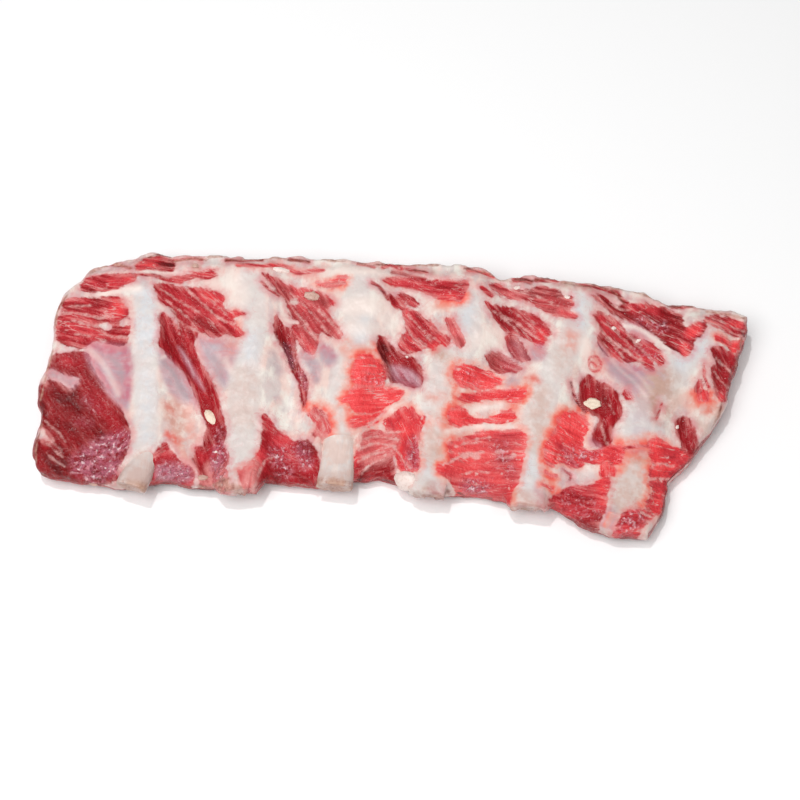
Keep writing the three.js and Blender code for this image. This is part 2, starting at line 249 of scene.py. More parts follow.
# Fat and silverskin that lie over the muscle, px
PATCHES_PX = [
    [(47, 371), (52, 368), (58, 370), (66, 374), (79, 377), (75, 384), (70, 388), (60, 382), (50, 379)],
    [(36, 430), (43, 427), (47, 433), (50, 440), (44, 440), (38, 437)],
    [(288, 297), (296, 296), (300, 300), (297, 304), (290, 303)],
    [(436, 350), (446, 350), (447, 362), (436, 362)],
    [(98, 325), (103, 320), (110, 321), (112, 326), (107, 330), (101, 329)],
    [(119, 322), (124, 318), (131, 320), (132, 327), (125, 329), (120, 327)],
]

# Thin strips of meat and brown dried edges, px: redness, half width and line
STRIPS_PX = [
    (0.4, 0.8, [(168, 259), (180, 259), (192, 258), (202, 259)]),
    (0.3, 1.1, [(226, 260), (240, 262), (252, 261), (262, 261)]),
    (0.6, 1.5, [(238, 267), (250, 267), (262, 268), (272, 266), (282, 265), (291, 267)]),
    (0.6, 1.6, [(291, 269), (300, 272), (312, 270), (323, 269)]),
    (0.3, 0.9, [(290, 259), (300, 260), (309, 262)]), (0.5, 1.4, [(358, 264), (366, 266), (374, 268)]),
    (0.6, 1.8, [(383, 267), (391, 264), (401, 268)]),
    (0.3, 1.4, [(392, 271), (402, 272), (415, 277), (425, 279)]),
    (0.3, 0.9, [(406, 268), (418, 271), (427, 272)]), (0.5, 1.5, [(468, 270), (480, 272), (494, 276)]),
    (0.3, 1.7, [(514, 279), (524, 280), (531, 281)]), (0.3, 1.3, [(536, 279), (546, 280), (558, 281)]),
    (0.45, 1.3, [(580, 287), (592, 288), (606, 290)]),
    (0.3, 1.5, [(609, 291), (617, 292), (622, 298), (628, 302)]),
    (0.3, 1.1, [(672, 306), (682, 307), (692, 306)]), (0.3, 1.0, [(138, 277), (154, 277), (170, 279)]),
    (0.3, 0.9, [(112, 264), (122, 266), (131, 270)]), (0.35, 1.1, [(262, 284), (268, 290), (278, 297)]),
    (0.3, 1.2, [(372, 285), (380, 289), (388, 300)]), (0.5, 2.2, [(482, 290), (488, 295), (491, 297)]),
    (0.35, 1.0, [(623, 451), (636, 449), (650, 449)]),
    (0.6, 0.6, [(590, 358), (597, 357), (601, 362), (600, 368), (594, 371), (589, 367), (589, 360)]),
    (0.15, 0.9, [(571, 385), (575, 398), (586, 411)]), (0.6, 0.9, [(592, 363), (596, 366)]),
    (0.75, 1.4, [(545, 474), (550, 477), (556, 477)]), (0.75, 1.3, [(541, 487), (552, 490)]),
    (0.35, 0.8, [(565, 470), (571, 474), (570, 479)]), (0.35, 0.7, [(661, 406), (659, 412), (656, 421)]),
    (0.5, 0.9, [(703, 367), (704, 378)]), (0.5, 0.9, [(705, 380), (709, 387)]),
]

# Darker and brighter places in the muscle, px: change of redness, softness, stroke radius, line
TONES_PX = [
    (-0.08, 8, 8, [(60, 395), (84, 425)]), (-0.1, 6, 6, [(50, 455), (56, 470)]),
    (0.12, 8, 8, [(84, 372), (110, 410), (124, 440)]), (0.25, 6, 6, [(78, 360), (62, 358)]),
    (0.25, 5, 5, [(140, 266), (152, 264)]), (-0.3, 3, 4, [(163, 261), (170, 263)]),
    (0.2, 5, 5, [(112, 280), (130, 279)]), (-0.15, 4, 4, [(85, 284), (90, 288)]),
    (0.2, 6, 6, [(118, 304), (122, 312)]), (-0.2, 5, 5, [(198, 318), (216, 330)]),
    (0.15, 6, 6, [(206, 294), (222, 300)]), (0.25, 5, 6, [(236, 315), (240, 335)]),
    (-0.15, 4, 4, [(276, 285), (300, 300)]), (-0.2, 4, 4, [(326, 302), (318, 298)]),
    (0.25, 6, 6, [(300, 430), (280, 440)]), (0.3, 5, 5, [(255, 470), (262, 456)]),
    (-0.12, 6, 7, [(272, 476), (305, 478)]), (-0.2, 5, 6, [(304, 444), (312, 452)]),
    (-0.2, 6, 6, [(205, 442), (218, 436)]), (0.15, 6, 6, [(206, 475), (214, 484)]),
    (-0.2, 4, 4, [(286, 345), (292, 365)]), (0.3, 6, 6, [(450, 300), (440, 298)]),
    (0.2, 6, 6, [(390, 281), (400, 282)]), (-0.15, 5, 5, [(440, 288), (460, 288)]),
    (-0.15, 4, 4, [(414, 330), (420, 342)]), (0.2, 5, 5, [(440, 340), (432, 350)]),
    (-0.25, 6, 6, [(390, 376), (384, 350)]), (-0.25, 5, 6, [(360, 470), (356, 482)]),
    (-0.2, 4, 5, [(414, 468), (410, 440)]), (0.2, 6, 8, [(352, 365), (350, 405)]),
    (-0.25, 6, 8, [(458, 486), (500, 494)]), (-0.25, 8, 9, [(500, 455), (512, 478)]),
    (0.2, 6, 6, [(456, 416), (460, 445)]), (-0.2, 4, 4, [(518, 291), (532, 293)]),
    (-0.25, 4, 5, [(560, 298), (568, 308)]), (0.3, 5, 5, [(572, 316), (562, 314)]),
    (-0.15, 5, 5, [(505, 318), (520, 328)]), (0.2, 6, 6, [(543, 335), (540, 345)]),
    (0.25, 6, 8, [(565, 418), (582, 420)]), (-0.25, 6, 8, [(562, 450), (590, 456)]),
    (-0.3, 6, 7, [(575, 522), (595, 528)]), (0.25, 6, 6, [(600, 484), (604, 505)]),
    (-0.12, 5, 6, [(630, 314), (665, 328), (685, 336)]), (0.6, 4, 6, [(696, 331), (690, 334)]),
    (0.45, 4, 5, [(684, 350), (684, 356)]), (0.3, 5, 5, [(632, 306), (655, 307)]),
    (-0.3, 5, 5, [(604, 342), (606, 350)]), (0.15, 5, 5, [(602, 322), (606, 330)]),
    (-0.2, 5, 6, [(604, 400), (608, 410)]), (-0.04, 5, 5, [(590, 382), (604, 390)]),
    (0.3, 5, 5, [(732, 322), (736, 324)]), (-0.25, 5, 5, [(676, 476), (668, 495)]),
    (0.2, 6, 7, [(654, 448), (656, 470)]), (0.2, 5, 5, [(722, 352), (734, 358)]),
    (0.25, 4, 4, [(726, 392), (722, 398)]), (-0.2, 6, 7, [(494, 437), (516, 445)]),
    (0.12, 6, 6, [(468, 456), (474, 470)]),
]

# Pale seams of fat between the bundles, px: half width and line
SEAMS_PX = [
    (1.1, [(62, 312), (80, 314), (95, 316), (112, 316)]),
    (1.0, [(72, 320), (85, 324), (98, 326), (106, 333), (128, 339)]), (0.8, [(75, 334), (92, 336)]),
    (0.8, [(68, 306), (90, 305)]), (0.7, [(44, 420), (56, 430), (66, 441)]),
    (0.7, [(42, 432), (52, 441), (60, 450)]), (0.6, [(44, 440), (54, 449), (62, 456)]),
    (0.5, [(46, 452), (56, 460), (64, 466)]),
    (1.0, [(182, 284), (197, 297), (213, 312), (222, 319), (238, 327)]),
    (0.8, [(162, 291), (175, 298), (200, 312)]), (0.7, [(176, 318), (190, 326), (210, 336)]),
    (1.1, [(160, 309), (172, 310), (177, 320), (179, 331)]), (1.0, [(318, 308), (330, 322), (343, 338)]),
    (0.8, [(300, 322), (316, 338)]), (0.7, [(310, 330), (325, 337)]),
    (0.9, [(275, 455), (265, 461), (262, 470), (252, 482)]), (0.9, [(311, 412), (319, 419), (325, 432)]),
    (0.8, [(318, 411), (326, 419)]), (0.7, [(312, 428), (322, 436)]),
    (0.9, [(425, 330), (433, 337), (440, 345)]), (0.8, [(418, 337), (426, 345), (431, 352)]),
    (0.7, [(408, 333), (416, 338)]), (1.4, [(352, 432), (365, 428), (375, 420), (388, 408), (402, 401)]),
    (1.0, [(374, 423), (385, 430), (404, 432)]), (0.7, [(392, 445), (400, 455), (410, 470)]),
    (0.8, [(360, 441), (378, 435), (398, 440)]), (0.8, [(358, 451), (376, 443), (396, 446)]),
    (0.9, [(358, 463), (374, 453), (392, 450)]), (0.7, [(362, 473), (372, 463), (384, 458)]),
    (0.7, [(455, 448), (466, 443), (482, 441)]), (0.7, [(486, 462), (500, 458), (514, 460)]),
    (0.7, [(462, 474), (476, 470), (490, 472)]),
    (1.3, [(432, 465), (448, 465), (455, 460), (470, 453), (483, 451)]), (2.4, [(498, 451), (500, 452)]),
    (2.0, [(512, 456), (514, 458)]), (3.2, [(463, 456), (470, 454), (478, 456)]),
    (0.8, [(462, 444), (476, 438), (490, 436)]), (0.8, [(500, 313), (520, 324), (540, 340)]),
    (0.7, [(520, 290), (540, 296), (558, 308)]), (1.3, [(603, 333), (622, 346), (632, 353), (643, 363)]),
    (1.0, [(622, 327), (634, 338), (642, 343)]), (1.0, [(610, 302), (620, 307), (630, 309)]),
    (1.1, [(602, 423), (604, 432), (608, 446)]), (0.8, [(611, 403), (614, 413)]),
    (1.3, [(652, 467), (662, 464), (674, 466)]), (1.0, [(648, 481), (656, 479), (668, 479)]),
    (1.0, [(640, 513), (652, 517)]), (0.9, [(706, 324), (722, 329), (742, 336)]),
    (0.8, [(712, 319), (726, 323), (744, 331)]), (0.7, [(270, 290), (286, 300), (300, 316), (312, 330)]),
    (0.6, [(290, 292), (304, 304), (318, 320), (328, 334)]), (0.6, [(408, 314), (420, 326), (432, 344)]),
    (0.6, [(404, 322), (414, 336), (424, 350)]), (0.6, [(494, 312), (510, 322), (524, 338)]),
    (0.6, [(510, 308), (524, 318), (536, 332)]), (0.5, [(524, 312), (538, 326), (546, 338)]),
    (0.6, [(602, 322), (616, 330), (632, 346), (642, 358)]), (0.6, [(600, 330), (612, 342), (624, 356)]),
    (0.5, [(634, 340), (644, 350), (652, 362)]), (0.6, [(164, 300), (182, 312), (196, 326)]),
    (0.5, [(200, 292), (214, 302), (228, 316)]), (0.8, [(716, 359), (728, 368), (736, 380)]),
    (0.7, [(713, 370), (722, 380), (730, 388)]), (0.7, [(544, 452), (560, 456), (582, 455)]),
]

# Thin silverskin over muscle, px: strength, softness, outline
FILMS_PX = [
    (0.95, 4, [(84, 352), (92, 342), (104, 341), (128, 348), (132, 370), (128, 412), (116, 402), (98, 378)]),
    (0.6, 3, [(50, 368), (66, 374), (79, 378), (72, 388), (58, 380), (48, 374)]),
    (0.9, 4, [(160, 352), (178, 366), (192, 390), (195, 402), (176, 399), (163, 380)]),
    (0.9, 5, [(197, 337), (222, 340), (240, 351), (232, 370), (226, 388), (214, 374), (203, 360)]),
    (0.8, 2, [(177, 343), (188, 356), (198, 374), (204, 388), (194, 378), (182, 356)]),
    (0.7, 4, [(302, 348), (313, 355), (321, 366), (318, 384), (309, 370)]),
    (0.8, 4, [(320, 343), (336, 356), (337, 365), (328, 370), (318, 352)]),
    (0.85, 4, [(391, 363), (403, 364), (418, 374), (420, 389), (404, 386), (394, 378)]),
    (0.6, 3, [(506, 378), (518, 378), (517, 388), (506, 387)]),
    (0.8, 4, [(530, 346), (545, 346), (544, 362), (532, 362)]),
    (0.95, 6, [(600, 352), (612, 360), (628, 363), (646, 372), (664, 376), (660, 396), (650, 408), (636, 402),
               (626, 390), (616, 376)]),
    (0.6, 4, [(622, 322), (634, 322), (650, 331), (656, 340), (648, 341), (634, 334)]),
    (0.3, 4, [(562, 462), (577, 464), (580, 482), (560, 484)]),
    (0.2, 4, [(502, 352), (518, 336), (530, 360), (514, 372), (504, 368)]),
    (0.6, 3, [(598, 344), (606, 350), (610, 358), (600, 352)]),
    (0.6, 3, [(589, 436), (600, 442), (602, 449), (590, 446)]),
    (0.6, 4, [(155, 470), (176, 463), (190, 470), (190, 479), (158, 480)]),
]

# Muscle faded by the fascia over it, px: strength, softness, outline
FADED_PX = [
    (0.1, 6, [(452, 440), (520, 434), (522, 480), (505, 500), (460, 498)]),
    (0.12, 5, [(268, 280), (316, 288), (336, 306), (342, 340), (312, 346), (290, 318)]),
    (0.16, 4, [(486, 352), (512, 332), (530, 360), (514, 372), (488, 368)]),
    (0.12, 5, [(492, 286), (560, 290), (576, 320), (548, 314), (500, 298)]),
    (0.3, 4, [(290, 262), (345, 262), (400, 264), (400, 279), (345, 276), (290, 276)]),
    (0.35, 4, [(306, 408), (332, 410), (332, 440), (310, 440)]),
    (0.4, 5, [(358, 430), (400, 434), (392, 456), (364, 468)]),
    (0.45, 4, [(314, 279), (350, 277), (348, 290), (320, 290)]),
    (0.35, 4, [(444, 316), (454, 318), (466, 348), (456, 352)]),
    (0.5, 4, [(206, 460), (228, 466), (240, 470), (252, 460), (260, 464), (254, 490), (206, 492)]),
]

# Tints of the fat and membrane, px: tint, strength, softness, stroke radius, line
TINTS_PX = [
    ("rose", 0.75, 4, 5, [(90, 344), (102, 345), (112, 349)]),
    ("rose", 0.6, 4, 5, [(126, 352), (130, 376), (128, 398)]),
    ("rose", 0.5, 4, 4, [(94, 358), (104, 376), (112, 390)]),
    ("silver", 0.4, 4, 4, [(201, 346), (210, 356), (216, 376)]),
    ("ash", 0.7, 3, 3, [(108, 356), (118, 366), (122, 380)]),
    ("ash", 0.8, 3, 5, [(166, 362), (178, 376), (188, 394)]),
    ("ash", 0.6, 3, 3, [(208, 352), (218, 364), (222, 376)]), ("ash", 0.8, 3, 4, [(510, 380), (514, 385)]),
    ("ash", 0.6, 3, 4, [(303, 352), (312, 368), (316, 380)]), ("rose", 0.5, 4, 4, [(324, 346), (334, 358)]),
    ("ash", 0.6, 3, 3, [(277, 398), (284, 408)]), ("ash", 0.5, 4, 5, [(272, 356), (280, 372)]),
    ("rose", 0.6, 4, 5, [(604, 354), (622, 362), (640, 372)]), ("ash", 0.8, 5, 7, [(616, 366), (632, 384)]),
    ("salmon", 0.65, 9, 14, [(178, 412), (186, 440), (188, 466)]),
    ("tan", 0.3, 8, 10, [(172, 410), (176, 424)]), ("salmon", 0.7, 6, 6, [(345, 352), (360, 352)]),
    ("salmon", 0.7, 6, 8, [(572, 336), (568, 350)]), ("salmon", 0.5, 8, 8, [(232, 348), (222, 366)]),
    ("salmon", 0.8, 6, 5, [(452, 302), (440, 305)]), ("salmon", 0.8, 5, 5, [(441, 424), (447, 428)]),
    ("salmon", 0.8, 5, 5, [(532, 381), (526, 384)]), ("salmon", 0.9, 7, 8, [(702, 402), (716, 412)]),
    ("salmon", 0.3, 8, 8, [(470, 405), (500, 404)]), ("salmon", 0.7, 6, 6, [(620, 448), (645, 446)]),
    ("salmon", 0.6, 6, 6, [(596, 358), (594, 368)]), ("salmon", 0.5, 8, 8, [(330, 420), (320, 445)]),
    ("salmon", 0.7, 6, 8, [(630, 456), (646, 462)]), ("salmon", 0.6, 6, 6, [(430, 400), (452, 402)]),
    ("salmon", 0.6, 6, 6, [(690, 402), (694, 405)]), ("salmon", 0.5, 8, 6, [(590, 290), (612, 294)]),
    ("ash", 0.5, 4, 5, [(612, 512), (608, 524)]),
    ("blood", 0.9, 4, 5, [(616, 454), (632, 457), (648, 455)]),
    ("tan", 0.5, 5, 6, [(616, 460), (646, 462)]), ("tan", 0.8, 4, 4, [(624, 449), (644, 450)]),
    ("rose", 0.5, 4, 6, [(605, 514), (610, 530)]), ("blood", 0.5, 4, 4, [(545, 474), (556, 478)]),
    ("blood", 0.5, 4, 4, [(541, 488), (553, 489)]), ("blood", 0.8, 4, 4, [(168, 436), (176, 441)]),
    ("blood", 0.5, 4, 3, [(194, 348), (196, 351)]), ("blood", 0.6, 5, 4, [(441, 424), (446, 430)]),
    ("blood", 0.6, 4, 4, [(527, 380), (537, 383)]), ("blood", 0.7, 5, 5, [(700, 398), (708, 406)]),
    ("blood", 0.5, 5, 4, [(447, 303), (458, 301)]),
    ("blood", 0.5, 4, 2, [(164, 404), (171, 411), (174, 415)]),
    ("ash", 0.8, 3, 5, [(52, 373), (64, 378), (74, 382)]), ("silver", 0.8, 3, 4, [(311, 296), (315, 297)]),
    ("silver", 0.7, 4, 4, [(90, 272), (108, 265), (124, 266)]),
    ("silver", 0.7, 6, 7, [(165, 362), (178, 382), (184, 396)]),
    ("blue", 0.8, 8, 10, [(147, 300), (147, 350)]), ("blue", 0.7, 8, 8, [(365, 325), (363, 345)]),
    ("blue", 0.8, 8, 9, [(578, 305), (578, 325)]), ("blue", 0.7, 8, 8, [(252, 340), (250, 360)]),
    ("blue", 0.7, 8, 9, [(468, 312), (460, 340)]), ("blue", 0.8, 8, 9, [(700, 345), (680, 366)]),
    ("blue", 0.6, 8, 8, [(640, 416), (634, 436)]), ("blue", 0.6, 6, 8, [(650, 430), (656, 434)]),
    ("beige", 0.5, 7, 15, [(246, 382), (244, 420)]), ("blue", 0.6, 8, 8, [(146, 380), (148, 440)]),
    ("beige", 0.9, 4, 12, [(338, 450), (335, 480)]), ("beige", 0.8, 8, 12, [(540, 400), (535, 444)]),
    ("blue", 0.6, 9, 9, [(531, 460), (528, 484)]), ("beige", 0.7, 8, 12, [(436, 440), (432, 460)]),
    ("beige", 0.9, 6, 18, [(626, 484), (624, 505)]), ("beige", 0.8, 8, 10, [(690, 425), (705, 428)]),
    ("beige", 0.6, 8, 10, [(560, 360), (566, 375)]), ("beige", 0.6, 6, 8, [(655, 525), (655, 533)]),
    ("tan", 0.9, 6, 6, [(652, 402), (656, 422)]), ("tan", 0.5, 10, 16, [(662, 384), (664, 412)]),
    ("beige", 0.9, 10, 14, [(656, 388), (646, 404)]), ("tan", 0.8, 4, 4, [(195, 266), (196, 267)]),
    ("tan", 0.7, 6, 5, [(436, 352), (444, 362)]), ("tan", 0.5, 3, 3, [(308, 488), (332, 489)]),
    ("silver", 0.7, 4, 4, [(420, 493), (450, 495)]), ("silver", 0.7, 4, 4, [(508, 505), (548, 510)]),
    ("rose", 0.35, 4, 3, [(516, 502), (544, 506)]),
    ("tan", 0.5, 3, 4, [(512, 496), (528, 501), (542, 504)]),
    ("silver", 0.6, 4, 5, [(576, 468), (592, 476)]), ("silver", 0.55, 6, 10, [(641, 408), (640, 436)]),
    ("blue", 0.35, 5, 8, [(214, 350), (222, 366)]), ("blue", 0.7, 4, 6, [(429, 468), (428, 475)]),
    ("tan", 0.7, 2, 3, [(418, 488), (430, 488), (438, 490)]), ("rose", 0.3, 3, 4, [(432, 489), (448, 491)]),
    ("rose", 0.35, 4, 4, [(537, 494), (548, 504)]), ("rose", 0.35, 6, 8, [(608, 362), (632, 386)]),
    ("tan", 0.7, 3, 3, [(291, 299), (297, 300)]), ("ash", 0.35, 4, 5, [(142, 281), (146, 286)]),
    ("ash", 0.4, 4, 5, [(469, 299), (471, 302)]),
    ("salmon", 0.4, 4, 5, [(514, 498), (534, 501), (547, 503)]),
    ("tan", 0.9, 3, 3, [(592, 532), (615, 538)]), ("tan", 0.7, 4, 4, [(400, 266), (430, 272)]),
    ("tan", 0.7, 4, 3, [(228, 261), (252, 261)]), ("tan", 0.6, 5, 4, [(560, 284), (590, 289)]),
    ("tan", 0.8, 5, 4, [(718, 405), (720, 420)]), ("tan", 0.6, 6, 4, [(440, 452), (436, 462)]),
]

# Where fresh red runs out into the fat beside it, px: stroke radius, line
HALOS_PX = [
    (11, [(351, 352), (346, 380), (345, 404), (348, 416)]), (10, [(362, 352), (378, 356)]),
    (12, [(448, 370), (446, 390), (444, 410), (442, 440), (446, 470)]),
    (7, [(518, 386), (526, 394), (518, 404)]), (7, [(558, 412), (551, 424), (544, 446), (543, 466)]),
    (6, [(564, 411), (584, 411)]), (8, [(444, 304), (464, 302)]), (8, [(622, 444), (650, 442)]),
    (9, [(624, 466), (644, 470)]), (5, [(646, 484), (642, 504)]), (8, [(702, 404), (712, 398)]),
    (5, [(336, 280), (342, 288)]), (3, [(610, 518), (606, 526)]), (6, [(308, 406), (330, 410), (334, 436)]),
    (6, [(548, 480), (556, 492)]), (7, [(686, 400), (698, 396)]),
]

# Dried crust along the edges, and a painted shade line under part of the front edge, px: 0 tan to 1 dark
# brown, stroke radius, line
CRUSTS_AND_EDGE_SHADE_PX = [
    (0.25, 3.0, [(90, 272), (100, 267), (112, 263), (122, 265), (131, 270)]),
    (0.7, 1.6, [(148, 257), (158, 254), (170, 256)]),
    (0.5, 1.6, [(174, 260), (186, 259), (196, 258), (206, 259)]), (0.3, 1.8, [(208, 256), (222, 256)]),
    (0.7, 2.0, [(226, 260), (240, 261), (252, 260), (262, 260)]),
    (0.3, 2.2, [(264, 259), (275, 257), (286, 259)]), (0.7, 1.8, [(288, 259), (300, 260), (309, 262)]),
    (0.2, 1.8, [(322, 259), (345, 261)]), (0.5, 2.0, [(358, 264), (366, 265), (371, 269)]),
    (0.7, 2.0, [(374, 265), (384, 264), (390, 262), (400, 265)]),
    (0.4, 2.0, [(404, 265), (416, 265), (438, 265)]), (0.9, 1.3, [(408, 268), (418, 270), (426, 271)]),
    (0.7, 1.8, [(463, 268), (472, 269), (481, 273)]), (0.4, 2.0, [(482, 271), (496, 276)]),
    (0.4, 2.0, [(498, 279), (512, 281)]), (0.8, 2.0, [(514, 279), (524, 279), (533, 280)]),
    (0.6, 1.8, [(536, 279), (546, 278), (558, 279)]), (0.2, 2.5, [(562, 283), (576, 287), (590, 289)]),
    (0.6, 1.8, [(592, 285), (604, 288), (612, 290)]), (0.7, 2.0, [(612, 291), (618, 294), (624, 302)]),
    (0.4, 1.8, [(612, 288), (624, 289)]), (0.3, 2.2, [(630, 289), (642, 294), (656, 299), (668, 304)]),
    (0.8, 1.8, [(668, 306), (680, 306)]), (0.4, 2.2, [(682, 304), (692, 306), (704, 309)]),
    (0.4, 2.0, [(706, 312), (720, 313), (734, 315), (747, 319)]), (0.7, 1.6, [(748, 318), (748, 332)]),
    (0.5, 2.0, [(742, 338), (738, 360), (732, 384)]), (0.8, 2.2, [(722, 402), (718, 418), (708, 436)]),
    (0.8, 2.2, [(698, 452), (688, 466), (678, 476)]), (0.9, 2.4, [(674, 482), (668, 496), (664, 508)]),
    (0.4, 2.2, [(660, 516), (656, 528), (646, 539)]), (0.5, 2.0, [(645, 541), (622, 541), (604, 536)]),
    (0.9, 2.6, [(594, 534), (580, 528), (568, 519)]), (0.9, 2.2, [(560, 514), (551, 511)]),
    # Painted shade: the brown-black strokes from (492, 499) to (458, 493), here and on the next line, are the
    # shade under the front edge
    (0.25, 4.0, [(545, 508), (530, 506), (512, 502)]), (1.0, 1.9, [(492, 499), (480, 498), (470, 499)]),
    (0.95, 2.4, [(466, 498), (458, 493)]), (0.6, 2.2, [(446, 498), (430, 497)]),
    (0.25, 3.6, [(448, 493), (434, 491), (420, 490)]), (0.9, 2.4, [(398, 488), (392, 482), (372, 482)]),
    (0.6, 2.0, [(366, 484), (352, 487)]), (0.3, 3.4, [(340, 488), (328, 489), (318, 487)]),
    (0.6, 2.0, [(312, 488), (304, 486), (290, 485), (272, 484)]), (0.8, 1.8, [(264, 484), (256, 487)]),
    (0.3, 3.0, [(240, 488), (226, 490), (210, 489), (198, 486)]),
    (0.2, 3.0, [(250, 482), (238, 482), (226, 483), (214, 484)]),
    (0.2, 2.2, [(246, 479), (232, 480), (218, 481)]),
    (0.8, 2.2, [(192, 487), (176, 485), (160, 484), (150, 487)]),
    (0.4, 2.8, [(138, 489), (126, 491), (114, 491)]), (0.5, 2.0, [(108, 488), (96, 486), (84, 485)]),
    (0.6, 2.2, [(68, 485), (52, 481), (42, 474)]), (0.5, 1.8, [(36, 462), (36, 446), (42, 424)]),
    (0.4, 1.8, [(40, 400), (46, 376), (53, 350)]), (0.5, 1.8, [(55, 326), (58, 310), (68, 294)]),
]

# Clean white fat, and one painted highlight, px: strength, softness, stroke radius, line
WHITES_AND_SHEEN_PX = [
    (0.7, 4, 3.0, [(468, 410), (482, 407), (500, 404)]),
    (0.7, 3, 2.0, [(446, 434), (460, 429), (478, 425), (494, 425), (512, 428)]),
    (0.6, 5, 9, [(392, 322), (382, 314)]), (0.65, 6, 10, [(350, 310), (384, 308)]),
    (0.5, 6, 8, [(352, 330), (380, 332)]), (0.6, 6, 10, [(232, 280), (240, 300)]),
    (0.7, 4, 5, [(585, 345), (588, 372)]), (0.7, 3, 3, [(100, 292), (140, 291)]),
    (0.6, 2, 1.6, [(140, 274), (160, 273), (176, 271)]), (0.6, 3, 3, [(470, 455), (478, 457)]),
    (0.3, 5, 5, [(584, 472), (596, 472)]), (0.6, 5, 6, [(505, 325), (478, 345)]),
    (0.7, 2, 2, [(607, 316), (622, 324), (640, 328), (656, 340), (668, 352)]),
    (0.6, 2, 1.6, [(281, 306), (284, 318), (298, 323)]), (0.5, 6, 8, [(470, 345), (492, 340)]),
    (0.6, 2, 2.0, [(690, 310), (684, 322), (686, 332)]), (0.4, 4, 4, [(444, 480), (452, 486)]),
    # Painted highlight: the first stroke on the next line is the silverskin's sheen, not fat
    (0.45, 3, 3, [(90, 350), (102, 362), (110, 376), (118, 394)]), (0.5, 2, 1.6, [(162, 360), (172, 352)]),
    (0.3, 2, 1.2, [(604, 350), (618, 366), (634, 384), (646, 400)]),
    (0.25, 2, 1.2, [(622, 362), (640, 380), (652, 398)]), (0.75, 4, 5, [(326, 271), (384, 273)]),
    (0.5, 4, 4, [(210, 281), (222, 286)]), (0.5, 2, 1.4, [(176, 358), (190, 372), (198, 392)]),
    (0.5, 3, 2.4, [(226, 362), (232, 374)]),
]

# Deep creases, px: depth in mm, half width, line
CREASES_PX = [
    (0.9, 2.5, [(60, 350), (88, 349)]), (0.8, 2.0, [(68, 398), (84, 414)]),
    (0.3, 2.0, [(176, 258), (203, 259)]), (1.0, 2.5, [(212, 372), (226, 390)]),
    (1.0, 2.0, [(311, 402), (312, 422)]), (1.2, 2.5, [(384, 362), (389, 383)]),
    (0.8, 2.0, [(571, 385), (575, 398), (586, 411)]), (0.8, 2.0, [(565, 468), (575, 478)]),
    (0.7, 2.0, [(657, 410), (656, 424)]), (0.8, 2.0, [(612, 303), (626, 309)]),
]

# Granular cut muscle that glitters, px: stroke radius, strength, how purple it is, line. Part of the glitter
# is painted: white glints in its colour.
GRAINY_PX = [
    (13, 1.0, 0.9, [(82, 464), (100, 450), (120, 442)]), (11, 1.0, 0.8, [(94, 474), (112, 466)]),
    (9, 1.0, 0.8, [(220, 450), (218, 466)]), (8, 0.9, 0.4, [(300, 446), (306, 462)]),
    (10, 0.8, 0.15, [(278, 452), (284, 470)]), (10, 1.0, 0.9, [(166, 471), (184, 472)]),
    (9, 1.0, 0.35, [(468, 486), (480, 488)]), (9, 0.5, 0.0, [(500, 448), (508, 468)]),
    (14, 0.3, 0.0, [(572, 500), (588, 512)]), (10, 0.55, 0.0, [(622, 528), (636, 520)]),
    (10, 0.6, 0.1, [(572, 454), (592, 456)]), (9, 0.6, 0.2, [(416, 446), (412, 466)]),
    (7, 0.25, 0.1, [(86, 400), (94, 406)]), (6, 0.2, 0.1, [(78, 420), (88, 422)]),
    (8, 0.5, 0.1, [(640, 322), (662, 326)]), (6, 0.6, 0.3, [(288, 346), (290, 362)]),
    (6, 0.6, 0.3, [(302, 374), (306, 384)]), (7, 0.4, 0.1, [(640, 350), (654, 356)]),
    (6, 0.35, 0.0, [(466, 376), (474, 380)]), (8, 0.5, 0.1, [(222, 440), (220, 432)]),
    (7, 0.35, 0.0, [(368, 378), (380, 382)]), (8, 0.9, 0.5, [(219, 466), (221, 478)]),
]

# Bare bone where the membrane is torn away, px
BARE_BONE_PX = {
    "rib_1": [(133, 461), (141, 457), (151, 455), (153, 464), (154, 472), (155, 480), (156, 490),
              (156, 500), (108, 500), (112, 484), (119, 475), (126, 467)],
    "rib_3": [(322, 448), (322, 441), (330, 440), (347, 439), (353, 440), (354, 447), (354, 462),
              (360, 478), (362, 498), (314, 498), (318, 470)],
}

# Loose crumbs of fat, and small white beads that are painted glints, px: place, length, width and height in
# mm, turn in degrees, lumpiness, tone
CRUMBS_AND_GLINT_BEADS_PX = [
    (407, 481, 15.5, 12.5, 9.0, 20, 0.10, "white"), (591, 404, 11.0, 6.5, 3.2, 8, 0.32, "cream"),
    (210, 417, 10.0, 6.0, 2.2, -55, 0.16, "cream"), (281, 270, 10.5, 3.4, 1.6, 4, 0.14, "white"),
    (312, 296, 8.4, 5.0, 2.2, -15, 0.45, "tan"), (195, 266, 3.4, 3.0, 1.6, 0, 0.3, "tan"),
    # Painted highlights: the small white beads at (517, 288), (567, 297), (407, 357), (216, 452), (677, 427),
    # (614, 328) and (638, 341) stand for glints
    (517, 288, 3.6, 2.2, 1.4, 0, 0.3, "white"), (567, 297, 3.2, 2.4, 1.4, 0, 0.3, "white"),
    (407, 357, 1.8, 1.4, 1.0, 0, 0.3, "white"), (216, 452, 2.0, 1.5, 1.0, 0, 0.3, "white"),
    (677, 427, 2.6, 2.0, 1.2, 60, 0.3, "white"), (93, 484, 5.0, 3.0, 2.0, 0, 0.2, "tan"),
    (614, 328, 2.6, 2.0, 1.2, 30, 0.3, "white"), (638, 341, 3.4, 1.8, 1.2, 30, 0.3, "white"),
    (203, 478, 6.0, 3.2, 2.0, 10, 0.2, "tan"),
]

# ---------------------------------------------------------------- lines, distances and noise

SHOULDER = 3  # grid columns by which what lies over a rib widens, and again over which it is evened out

# Factors that turn a cell of the noise into a number that looks random
CELL_FACTORS = np.array([374761393, 668265263, 1440662683])
SEED_FACTOR = 69069
MIXING_FACTOR = 1274126177
KEPT_BITS = 0xFFFFFF


